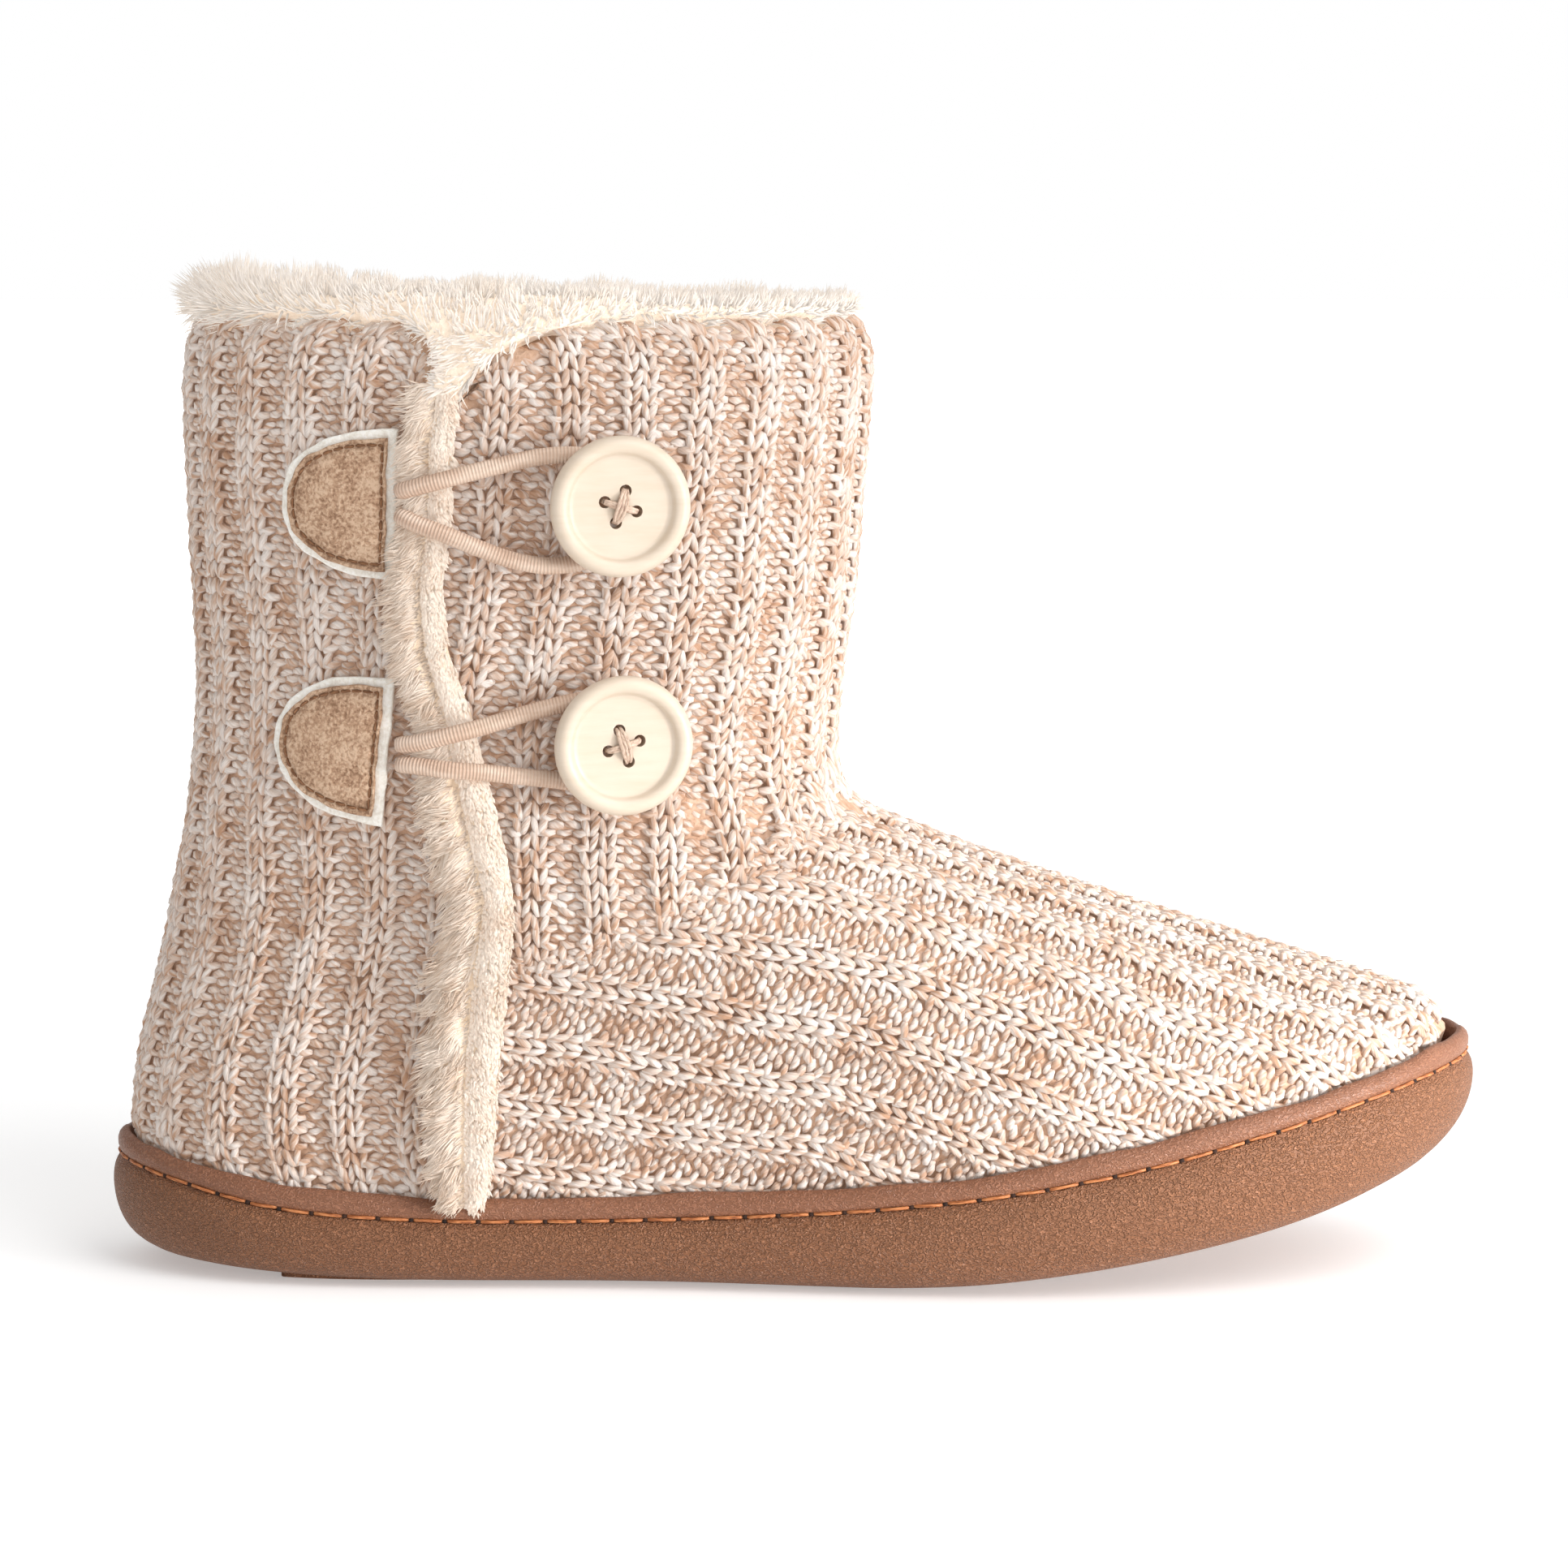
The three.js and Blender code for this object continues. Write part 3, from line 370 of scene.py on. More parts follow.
def tubes(centres, radii, sides, lift, flat=1.0):
    """Closed tapering tubes with pointed ends, one for each row of centres. Lift is the
    direction of each tube's back, and flat is its thickness as a share of its width."""
    count, length = centres.shape[:2]
    ahead = centres[:, 2:] - centres[:, :-2]
    ahead /= np.linalg.norm(ahead, axis=-1, keepdims=True) + 1e-9
    lift = np.broadcast_to(lift.reshape(count, 1, 3), ahead.shape)
    side = np.cross(ahead, lift)
    side /= np.linalg.norm(side, axis=-1, keepdims=True) + 1e-9
    back = np.cross(side, ahead)
    turn = np.linspace(0, 2 * math.pi, sides, endpoint=False) - math.pi / 2
    spokes = (np.cos(turn)[None, None, :, None] * side[:, :, None]
              + flat * np.sin(turn)[None, None, :, None] * back[:, :, None])
    rings = centres[:, 1:-1, None] + radii[:, :, None, None] * spokes
    points = np.concatenate((centres[:, :1], rings.reshape(count, -1, 3), centres[:, -1:]), axis=1)
    inner = length - 2
    per = 2 + inner * sides
    step = np.arange(sides)
    follow = (step + 1) % sides
    quads = [np.stack((1 + k * sides + step, 1 + (k + 1) * sides + step,
                       1 + (k + 1) * sides + follow, 1 + k * sides + follow), -1)
             for k in range(inner - 1)]
    start = np.stack((np.zeros(sides, int), 1 + step, 1 + follow), -1)
    last = 1 + (inner - 1) * sides
    end = np.stack((np.full(sides, per - 1), last + follow, last + step), -1)
    firsts = (np.arange(count) * per)[:, None, None]
    face_sets = [(np.concatenate((start, end))[None] + firsts).reshape(-1, 3)]
    if quads:
        face_sets.append((np.concatenate(quads)[None] + firsts).reshape(-1, 4))
    run = np.r_[0.0, np.repeat(np.arange(1, inner + 1), sides), inner + 1] / (inner + 1)
    turned = np.r_[0.5, np.tile(step / sides, inner), 0.5]
    return points.reshape(-1, 3), face_sets, (run, turned, per, count, sides, inner)


def strand_marks(obj, layout, spans, seeds, rng):
    """Marks each tube's points with how far along and round they are and the tube's own number, and
    lays the tubes out side by side in a UV map named OFBake."""
    run, turned, per, count, sides, inner = layout
    marks = np.empty((count, per, 3), np.float32)
    marks[..., 0] = run[None] * spans[:, None] + rng.random((count, 1)) * 40
    marks[..., 1] = turned[None]
    marks[..., 2] = seeds[:, None]
    attribute = obj.data.attributes.new("strand", "FLOAT_VECTOR", "POINT")
    attribute.data.foreach_set("vector", marks.ravel())
    step = np.arange(sides)
    start = np.stack((step + 0.5, step, step + 1), -1)
    rows = np.stack((np.zeros(sides), np.ones(sides), np.ones(sides)), -1)
    tris = [np.stack((start, rows), -1),
            np.stack((np.stack((step + 0.5, step + 1, step), -1),
                      np.stack((np.full(sides, inner + 1), np.full(sides, inner),
                                np.full(sides, inner)), -1)), -1)]
    corner_sets = [np.concatenate(tris).reshape(-1, 2)]
    if inner > 1:
        quads = [np.stack((np.stack((step, step, step + 1, step + 1), -1),
                           np.broadcast_to([k + 1, k + 2, k + 2, k + 1], (sides, 4))), -1)
                 for k in range(inner - 1)]
        corner_sets.append(np.concatenate(quads).reshape(-1, 2))
    across = math.ceil(math.sqrt(count))
    cell = np.stack((np.arange(count) % across, np.arange(count) // across), -1)[:, None]
    charts = [(cell + 0.06 + 0.88 * corners[None] / (sides, inner + 1)) / across
              for corners in corner_sets]
    chart = obj.data.uv_layers.new(name="OFBake")
    chart.data.foreach_set("uv", np.concatenate([c.reshape(-1) for c in charts]).astype(np.float32))


def thread_group():
    """Fine fibres that wind round each strand, drawn out along it."""
    group, start, end = shared_effect("wound fibres", "Fibres per millimetre", ("Fibres",))
    strand = add_node(group, "ShaderNodeAttribute", attribute_name="strand")
    drawn = add_node(group, "ShaderNodeCombineXYZ", {
        "X": start["Fibres per millimetre"], "Y": 6.0, "Z": 53.0})
    wound = add_node(group, "ShaderNodeVectorMath", {
        0: strand.outputs["Vector"], 1: drawn.outputs[0]}, operation="MULTIPLY")
    fibres = add_node(group, "ShaderNodeTexNoise", {
        "Vector": wound.outputs[0], "Scale": 1.0, "Detail": 2})
    group.links.new(fibres.outputs["Fac"], end["Fibres"])
    return group


wound_fibres = thread_group()


def thread_material(name, stops, roughness=0.75):
    """Twisted thread with fine fibres."""
    made, tree, shader = material(name, roughness)
    wound = add_node(tree, "ShaderNodeGroup", {"Fibres per millimetre": 1.6},
                     node_tree=wound_fibres).outputs["Fibres"]
    tree.links.new(shades(tree, wound, stops), shader.inputs["Base Color"])
    bump = add_node(tree, "ShaderNodeBump", {"Height": wound, "Strength": 0.5, "Distance": 0.0002})
    tree.links.new(bump.outputs[0], shader.inputs["Normal"])
    return made


STITCH_PITCH = 6.2
STITCH_LENGTH = 5.6
STITCH_LIFT = 0.36
STITCH_RADII = (0.27, 0.31, 0.32, 0.31, 0.27)
rng = np.random.default_rng(7)


def welt_seam():
    """Angles round the sole with the seam's length up to each, and where the stitches start."""
    fine = np.linspace(0, 2 * math.pi, 4000)
    x, y = sole_plan(fine, 1.35)
    run = np.r_[0, np.cumsum(np.hypot(np.diff(x), np.diff(y)))]
    count = round(run[-1] / STITCH_PITCH)
    return fine, run, np.arange(count) * run[-1] / count


def welt_stitches(fine, run, starts):
    """The stitches, with both ends of each drawn down into the needle holes."""
    count = len(starts)
    share = np.array((0.02, 0.06, 0.14, 0.5, 0.86, 0.94, 0.98))
    depth = np.array((1.5, 0.6, 0.12, 0, 0.12, 0.6, 1.5))
    at = starts[:, None] + share[None] * run[-1] / count
    angle = np.interp(at, run, fine)
    inset = 1.14 + depth[None] + rng.normal(0, 0.05, (count, 1))
    x, y = np.empty(at.shape), np.empty(at.shape)
    for k in range(len(share)):
        for row in range(count):
            x[row, k], y[row, k] = sole_plan(angle[row, k], inset[row, k])
    slant = rng.normal(0, 0.14, (count, 1)) * (share - 0.5)[None]
    centres = np.stack((x, y, sole_top(x) + STITCH_LIFT + slant), -1)
    outward = np.stack((-np.cos(angle[:, 3]), -np.sin(angle[:, 3]), np.zeros(count)), -1)
    return tubes(centres, np.broadcast_to(STITCH_RADII, (count, 5)), 8, outward)


seam_angles, seam_run, seam_starts = welt_seam()
points, faces, layout = welt_stitches(seam_angles, seam_run, seam_starts)
stitches = piece("welt_stitches", points, faces, slot="button_thread", stands_for=("welt",))
strand_marks(stitches, layout, np.full(layout[3], STITCH_LENGTH), rng.random(layout[3]), rng)
stitches.data.materials.append(thread_material("welt thread", [
    (0.3, (120, 66, 34)), (0.5, (176, 104, 58)), (0.7, (205, 138, 88))], 0.6))


# The holes the needle made in that seam: small pits where one stitch ends and the next one starts,
# pulled open by the thread. Their dark inside is painted shade, a short dark brown plug in each.
NEEDLE_RADIUS = 0.42
PIT_AT = (-0.55, -0.3, 0.3, 0.55)


def needle_hole_shade_plugs(fine, run, starts):
    """A short dark plug round the start of each stitch: painted shade inside its hole."""
    places = starts[:, None] + np.array(PIT_AT)[None]
    x, y = np.moveaxis(np.array([
        [sole_plan(float(np.interp(place, run, fine)), 1.5) for place in row]
        for row in places]), -1, 0)
    middle = np.interp(starts + 0.5 * run[-1] / len(starts), run, fine)
    outward = np.stack((-np.cos(middle), -np.sin(middle), np.zeros(len(starts))), -1)
    radii = np.full((len(starts), 2), NEEDLE_RADIUS)
    return tubes(np.stack((x, y, sole_top(x) + STITCH_LIFT), -1), radii, 8, outward)[:2]


holes = piece("welt_needle_hole_painted_shade", *needle_hole_shade_plugs(seam_angles, seam_run, seam_starts),
              slot="welt_leather", stands_for=("welt",))
# Dark browns for the plugs: painted shade inside the holes.
made, tree, shader = material("needle hole painted shade", 0.9)
spot = add_node(tree, "ShaderNodeTexCoord").outputs["Object"]
hole_shade_noise = add_node(tree, "ShaderNodeTexNoise", {"Vector": spot, "Scale": 900})
tree.links.new(shades(tree, hole_shade_noise.outputs["Fac"], [(0.3, (34, 20, 14)), (0.7, (62, 38, 26))]),
               shader.inputs["Base Color"])
holes.data.materials.append(made)


# The upper, sewn from three panels of thick 2 x 2 rib knit in marled wool. Every stitch is laid
# on its own: two legs where the face shows, two arcs where the back shows. The ribs are counted
# from the middle of the heel, the front of the shaft and the ridge of the foot.
WALE = 3.15
RIM_TOP = 176.6
ANKLE_HEIGHT = 91.0
AXIS_X = 79.3
ROW_STEP = 1.5
TURN_STEP = 2.0
RAY_START = 260
RIM_ROUNDING = 0.22
RIDGE_SLOPE = math.radians(18.7)
RIDGE_FOOT = np.array((148.0, 1.5, 84.6))
RIDGE_DEPTHS = (60, 50, 38, 27, 19)
RIDGE_FROM = 4.0
SEAM_X = (60, 72, 80.0, 91.1, 103.0, 111.8, 122.1, 130.2, 137.1, 142, 150)
SEAM_Z = (58.5, 59.5, 60.7, 63.2, 68.6, 73.7, 78.5, 84.0, 89.7, 95, 104)
SLIT_Z = (10, 16.4, 29.0, 44.4, 59.6, 67.2, 74.9, 80.9,
          95.9, 107.7, 119.5, 131.2, 143.0, 156.1, 168, 178)
SLIT_BACK = (63.8, 63.6, 62.4, 63.4, 63.9, 66.7, 67.5, 65.4,
             62.0, 61.3, 58.5, 57.9, 59.5, 59.2, 62.7, 65)
SLIT_FRONT = (72.4, 72.6, 74.4, 75.3, 77.4, 78.1, 78.2, 77.3,
              73.8, 70.9, 66.7, 66.0, 67.6, 68.5, 71, 74)
SLIT_MIDDLE = (np.array(SLIT_BACK) + SLIT_FRONT) / 2
SLIT_LAP = 2.5
SIDE_SEAM_PULL = 1.5
ANKLE_SEAM_PULL = 1.6
ANKLE_SEAM_FROM = 66
SHAFT_LAP = 1.6
FOOT_LAP = 1.4
CREASE_X = 130
CREASE_Z = 90
CREASE_LIFT = 1.1
CREASE_LAP = 6.0
WELT_HIDES = 3.6

upper_tree = BVHTree.FromObject(nodes["upper"], bpy.context.evaluated_depsgraph_get())


def outer_hits(centres, directions):
    """How far the knit's outer face is from each centre, looked at from outside, or nothing
    where the collar's notch leaves it open."""
    reach = np.full(len(centres), np.nan)
    for k, (centre, direction) in enumerate(zip(centres, directions)):
        far = (centre + direction * RAY_START + HEEL_TO_MIDDLE) * 0.001
        hit = upper_tree.ray_cast(Vector(far), Vector(-direction))
        if hit[0] is not None and RAY_START - hit[3] * 1000 > 5:
            reach[k] = RAY_START - hit[3] * 1000
    return reach


def smoothed(table):
    """Evens out the facets of a table of distances, within rows and between them."""
    for _ in range(2):
        table = (np.roll(table, 1, 1) + 2 * table + np.roll(table, -1, 1)) / 4
    padded = np.vstack((2 * table[:1] - table[1:2], table, 2 * table[-1:] - table[-2:-1]))
    return (padded[:-2] + 2 * padded[1:-1] + padded[2:]) / 4


class Panel:
    """Grid of places on the knit: u counts wales from a centre line, v counts courses."""

    def __init__(self, points, normals, wale_from, open_at):
        self.points = points
        self.normals = normals
        self.wale_from = wale_from
        self.open_at = open_at

    def look(self, table, u, v):
        """Value of a table between the grid's places, which are half a wale apart."""
        column = np.clip((u - self.wale_from) * 2, 0, table.shape[1] - 1.001)
        row = np.clip(v * 2, 0, table.shape[0] - 1.001)
        c, r = column.astype(int), row.astype(int)
        fc, fr = (column - c)[..., None], (row - r)[..., None]
        low = table[r, c] * (1 - fc) + table[r, c + 1] * fc
        high = table[r + 1, c] * (1 - fc) + table[r + 1, c + 1] * fc
        return low * (1 - fr) + high * fr

    def place(self, u, v, height):
        """Place at a height over the knit's face, and the direction out of the face."""
        normal = self.look(self.normals, u, v)
        normal /= np.linalg.norm(normal, axis=-1, keepdims=True) + 1e-9
        return self.look(self.points, u, v) + normal * height[..., None], normal


def panel_grid(rings, starts, wales, open_rings):
    """Grid with equal steps along each ring, counted from that ring's start."""
    targets = np.arange(-wales, wales + 0.25, 0.5) * WALE
    rows, opens = [], []
    for ring, start, is_open in zip(rings, starts, open_rings):
        run = np.r_[0, np.cumsum(np.linalg.norm(np.diff(ring, axis=0), axis=1))] - start
        rows.append(np.stack([np.interp(targets, run, ring[:, k]) for k in range(3)], -1))
        opens.append(np.interp(targets, run, is_open.astype(float)) > 0.5)
    points = np.stack(rows)
    across = np.gradient(points, axis=1)
    along = np.gradient(points, axis=0)
    normals = np.cross(across, along)
    normals /= np.linalg.norm(normals, axis=-1, keepdims=True) + 1e-9
    return points, normals, np.stack(opens)


def shaft_panel(low, high, wales, front, inner=False):
    """Panel of level rings, with u counted from the heel's middle or the shaft's front. Below
    the ankle the front's count runs on level from the outer or the inner side."""
    heights = np.arange(low, high, ROW_STEP)
    turns = np.radians(np.arange(0, 360, TURN_STEP)) + (math.pi if not front else 0)
    directions = np.stack((np.cos(turns), -np.sin(turns), np.zeros(len(turns))), -1)
    table = np.stack([outer_hits(
        np.broadcast_to((AXIS_X, 0, z), directions.shape), directions) for z in heights])
    is_open = np.isnan(table)
    mirrored = np.roll(table[:, ::-1], 1, axis=1)
    table = np.where(is_open, mirrored, table)
    for column in range(table.shape[1]):
        good = ~np.isnan(table[:, column])
        table[:, column] = np.interp(heights, heights[good], table[good, column])
    top = np.searchsorted(heights, RIM_TOP) - 1
    for row in range(top + 1, len(heights)):
        table[row] = table[top] - RIM_ROUNDING * (heights[row] - heights[top]) ** 2
        is_open[row] = is_open[top]
    table = smoothed(table)
    rings, open_rings = [], []
    wrap = np.r_[np.arange(len(turns) // 2, len(turns)), np.arange(0, len(turns) // 2 + 1)]
    for z, reach, gap in zip(heights, table, is_open):
        ring = directions * reach[:, None] + (AXIS_X, 0, z)
        rings.append(ring[wrap])
        open_rings.append(gap[wrap])
    half = len(turns) // 2
    side = (1 if inner else 3) * len(turns) // 4
    ankle = int(np.searchsorted(heights, ANKLE_HEIGHT))
    runs = [np.r_[0, np.cumsum(np.linalg.norm(np.diff(ring, axis=0), axis=1))] for ring in rings]
    starts = [run[half] for run in runs]
    if front:
        level = runs[ankle][side] - runs[ankle][half]
        starts[:ankle] = [run[side] - level for run in runs[:ankle]]
    points, normals, opens = panel_grid(rings, starts, wales, open_rings)
    centre = np.array((AXIS_X, 0, 0))
    outward = ((points - centre) * (1, 1, 0) * normals).sum(-1, keepdims=True)
    return Panel(points, np.where(outward < 0, -normals, normals), -wales, opens)


def foot_panel(back, ahead, wales, inner):
    """Panel of rings square to the ridge of the foot, with u counted from the ridge. Behind
    the ankle u runs on level from the last ring of the ridge, on the outer or the inner side."""
    along = np.array((math.cos(RIDGE_SLOPE), 0, -math.sin(RIDGE_SLOPE)))
    upright = np.array((math.sin(RIDGE_SLOPE), 0, math.cos(RIDGE_SLOPE)))
    sideways = np.array((0, -1, 0))
    turns = np.radians(np.arange(-166, 166.1, TURN_STEP))
    directions = np.cos(turns)[:, None] * upright + np.sin(turns)[:, None] * sideways
    places = np.arange(back, ahead, ROW_STEP)
    depths = smooth_curve(places, (back - 1, -20, 40, 80, ahead + 1), RIDGE_DEPTHS)
    middles = RIDGE_FOOT + places[:, None] * along - depths[:, None] * upright
    table = np.stack([outer_hits(np.broadcast_to(middle, directions.shape), directions)
                      for middle in middles])
    for row in range(len(places)):
        good = ~np.isnan(table[row])
        table[row] = (np.interp(turns, turns[good], table[row, good]) if good.any()
                      else 0.8 * table[row - 1])
    table = smoothed(table)
    middle = len(turns) // 2
    side = middle + round((-80 if inner else 80) / TURN_STEP)
    rings = [centre + directions * reach[:, None] for centre, reach in zip(middles, table)]
    runs = [np.r_[0, np.cumsum(np.linalg.norm(np.diff(ring, axis=0), axis=1))] for ring in rings]
    ridge_row = int(np.searchsorted(places, RIDGE_FROM))
    level = runs[ridge_row][side] - runs[ridge_row][middle]
    starts = [run[middle] for run in runs]
    starts[:ridge_row] = [run[side] - level for run in runs[:ridge_row]]
    closed = [np.zeros(len(turns), bool)] * len(rings)
    points, normals, opens = panel_grid(rings, starts, wales, closed)
    outward = ((points - middles[:, None]) * normals).sum(-1, keepdims=True)
    return Panel(points, np.where(outward < 0, -normals, normals), -wales, opens)


def rib_height(u):
    """Centre height of the yarn: two raised wales, then two sunk ones."""
    off = np.abs((u + 1) % 4 - 2)
    edge = np.clip((off - 0.85) / 0.4, 0, 1)
    return -0.72 - 0.25 * np.minimum(off, 1) ** 2 - 1.0 * edge * edge * (3 - 2 * edge)


def near_line(x, z, xs, zs):
    """Distance in the side view from a line through the given places."""
    best = np.full(np.shape(x), 1e9)
    for x0, z0, x1, z1 in zip(xs[:-1], zs[:-1], xs[1:], zs[1:]):
        along = np.array((x1 - x0, z1 - z0))
        t = np.clip(((x - x0) * along[0] + (z - z0) * along[1]) / (along @ along), 0, 1)
        best = np.minimum(best, np.hypot(x - x0 - t * along[0], z - z0 - t * along[1]))
    return best


def pressed(x, y, z, panel):
    """How far the seams pull the knit in at a place, and the ankle's crease pushes it out."""
    slit = np.interp(z, SLIT_Z, SLIT_MIDDLE)
    side_seam = SIDE_SEAM_PULL * np.exp(-(((x - slit) / 2.0) ** 2)) * (y > 0)
    ankle_seam = 0
    if panel != "back":
        into_crease = np.clip((x - 118) / 8, 0, 1)
        pull = np.where(x > ANKLE_SEAM_FROM, ANKLE_SEAM_PULL - 2.2 * into_crease, 0)
        ankle_seam = pull * np.exp(-((near_line(x, z, SEAM_X, SEAM_Z) / 1.5) ** 2))
    crease = CREASE_LIFT * np.exp(-(((x - CREASE_X) / 9) ** 2) - ((z - CREASE_Z) / 6) ** 2)
    return np.where(side_seam > ankle_seam, side_seam, ankle_seam) - crease


def belongs(x, y, z, panel):
    """Whether a stitch at that place is in a panel, and over the welt."""
    back_edge = np.where(y > 0, np.interp(z, SLIT_Z, SLIT_MIDDLE),
                         np.interp(z, SLIT_Z, SLIT_BACK) + SLIT_LAP)
    front_edge = np.where(y > 0, back_edge, np.interp(z, SLIT_Z, SLIT_FRONT) - SLIT_LAP)
    foot_lap = FOOT_LAP + CREASE_LAP * np.clip((x - CREASE_X + 8) / 8, 0, 1)
    margin = -SHAFT_LAP if panel == "shaft" else foot_lap
    over = z > np.interp(x, SEAM_X, SEAM_Z) + margin
    side = x < back_edge if panel == "back" else x > front_edge
    if panel == "shaft":
        side &= over
    if panel == "foot":
        side &= ~over
    return side & (z > sole_top(x) + WELT_RISE - WELT_HIDES) & (z < RIM_TOP + 1)


# Shapes of the yarn in one stitch, as wales across, courses up and millimetres out.
LEG = np.array(((0.03, -0.34, -0.95), (0.1, -0.06, -0.1), (0.25, 0.42, 0.13),
                (0.39, 0.88, 0.0), (0.47, 1.16, -0.95)))
HEAD = np.array(((-0.62, 0.36, -0.8), (-0.34, 0.43, 0.0), (0.0, 0.49, 0.26),
                 (0.34, 0.43, 0.0), (0.62, 0.36, -0.8)))
FOOT = np.array(((-0.62, 0.12, -0.8), (-0.34, 0.05, 0.0), (0.0, -0.01, 0.26),
                 (0.34, 0.05, 0.0), (0.62, 0.12, -0.8)))
LEG_RADII = (0.66, 0.84, 0.7)
ARC_RADII = (0.74, 0.88, 0.74)
YARN_LENGTH = 4.2
LOWEST_YARN = -1.95


def laid_yarn(panel, kind, across, up, out):
    """Lays runs of yarn on a panel, with the ribs' relief and the seams' pull."""
    wave = 0.1 * np.sin(up * 0.37 + across * 0.21) + 0.06 * np.sin(up * 0.9 - across * 0.33)
    spot, _ = panel.place(across + wave, up, np.zeros(across.shape))
    x, z = spot[..., 0], spot[..., 2]
    hugged = 0.8 * np.exp(-(((z - sole_top(x) - WELT_RISE) / 2.4) ** 2))
    rise = rib_height(across) * (1 - hugged) - 0.8 * hugged - pressed(x, spot[..., 1], z, kind)
    return panel.place(across + wave, up, np.maximum(rise, LOWEST_YARN) + out)


def knit_stitches(panel, kind, keep):
    """Lays the stitches of a panel: the ribs' legs, then the arcs between the ribs, each as
    centres, radii and backs."""
    wales = np.arange(panel.wale_from, -panel.wale_from)
    courses = np.arange(0, panel.points.shape[0] // 2 - 1)
    u, v = (grid.ravel() for grid in np.meshgrid(wales, courses))
    spot, _ = panel.place(u + 0.5, v + 0.5, np.zeros(len(u)))
    inside = belongs(*spot.T, kind) & keep(*spot.T)
    column = np.clip(((u + 0.5 - panel.wale_from) * 2).astype(int), 0, panel.open_at.shape[1] - 1)
    inside &= ~panel.open_at[np.clip(v * 2 + 1, 0, len(panel.open_at) - 1), column]
    u, v = u[inside], v[inside]
    face = u % 4 < 2
    for strokes in (((LEG, -1, LEG_RADII, face, 0.5), (LEG, 1, LEG_RADII, face, 0.5)),
                    ((HEAD, 1, ARC_RADII, ~face, 0.5), (FOOT, 1, ARC_RADII, ~face, 0.0),
                     (FOOT, 1, ARC_RADII, u % 4 == 3, 1.0))):
        runs, radii = [], []
        for shape, flip, wide, chosen, shift in strokes:
            jitter = rng.normal(0, 1, (int(chosen.sum()), 6))
            across = u[chosen, None] + shift + flip * shape[None, :, 0]
            across = across + 0.028 * jitter[:, :1] + 0.03 * jitter[:, 1:2] * shape[None, :, 1]
            up = v[chosen, None] + shape[None, :, 1] * (1 + 0.04 * jitter[:, 2:3])
            up = up + 0.045 * jitter[:, 3:4]
            if shape is not LEG:
                up = up + 0.22 * jitter[:, 2:3] * shape[None, :, 0]
            out = shape[None, :, 2] + 0.07 * jitter[:, 4:5]
            runs.append(np.stack((across, up, np.broadcast_to(out, across.shape)), -1))
            radii.append(np.array(wide)[None] * (1 + 0.08 * jitter[:, 5:6]))
        run = np.concatenate(runs)
        centres, normals = laid_yarn(panel, kind, *np.moveaxis(run, -1, 0))
        yield centres, np.concatenate(radii), normals[:, 2]


def melange():
    """Marled wool: cream, beige and tan plies twisted together, with fine fibres. A faint glow
    stands in for the light that the loose fibres pass on into the hollows."""
    made, tree, shader = material("marled wool", 0.88, Emission_Strength=0.13)
    strand = add_node(tree, "ShaderNodeAttribute", attribute_name="strand").outputs["Vector"]
    parts = add_node(tree, "ShaderNodeSeparateXYZ", {0: strand})
    twist = add_node(tree, "ShaderNodeMath", {
        0: parts.outputs["X"], 1: 0.16, 2: parts.outputs["Y"]}, operation="MULTIPLY_ADD")
    wound = add_node(tree, "ShaderNodeCombineXYZ", {
        "X": parts.outputs["X"], "Y": twist.outputs[0], "Z": parts.outputs["Z"]})
    plies = add_node(tree, "ShaderNodeVectorMath", {0: wound.outputs[0], 1: (0.3, 4.6, 61.0)},
                     operation="MULTIPLY")
    ply = add_node(tree, "ShaderNodeTexNoise", {
        "Vector": plies.outputs[0], "Scale": 1.0, "Detail": 1.5, "Roughness": 0.55})
    hairs = add_node(tree, "ShaderNodeVectorMath", {0: wound.outputs[0], 1: (0.9, 16.0, 61.0)},
                     operation="MULTIPLY")
    fibre = add_node(tree, "ShaderNodeTexNoise", {
        "Vector": hairs.outputs[0], "Scale": 1.0, "Detail": 2})
    spot = add_node(tree, "ShaderNodeTexCoord").outputs["Object"]
    cloud = add_node(tree, "ShaderNodeTexNoise", {"Vector": spot, "Scale": 130, "Detail": 2})
    mixed = add_node(tree, "ShaderNodeMath", {
        0: cloud.outputs["Fac"], 1: 0.45, 2: ply.outputs["Fac"]}, operation="MULTIPLY_ADD")
    colour = shades(tree, mixed.outputs[0], [
        (0.5, (170, 132, 106)), (0.58, (182, 149, 127)), (0.66, (192, 167, 150)),
        (0.74, (202, 184, 171)), (0.86, (213, 202, 194))])
    fine = add_node(tree, "ShaderNodeMapRange", {
        "Value": fibre.outputs["Fac"], "From Min": 0.3, "From Max": 0.7,
        "To Min": 0.86, "To Max": 1.1})
    shaded = add_node(tree, "ShaderNodeVectorMath", {0: colour, "Scale": fine.outputs[0]},
                      operation="SCALE")
    tree.links.new(shaded.outputs[0], shader.inputs["Base Color"])
    tree.links.new(shaded.outputs[0], shader.inputs["Emission Color"])
    bump = add_node(tree, "ShaderNodeBump", {
        "Height": fibre.outputs["Fac"], "Strength": 0.6, "Distance": 0.0003})
    tree.links.new(bump.outputs[0], shader.inputs["Normal"])
    return made


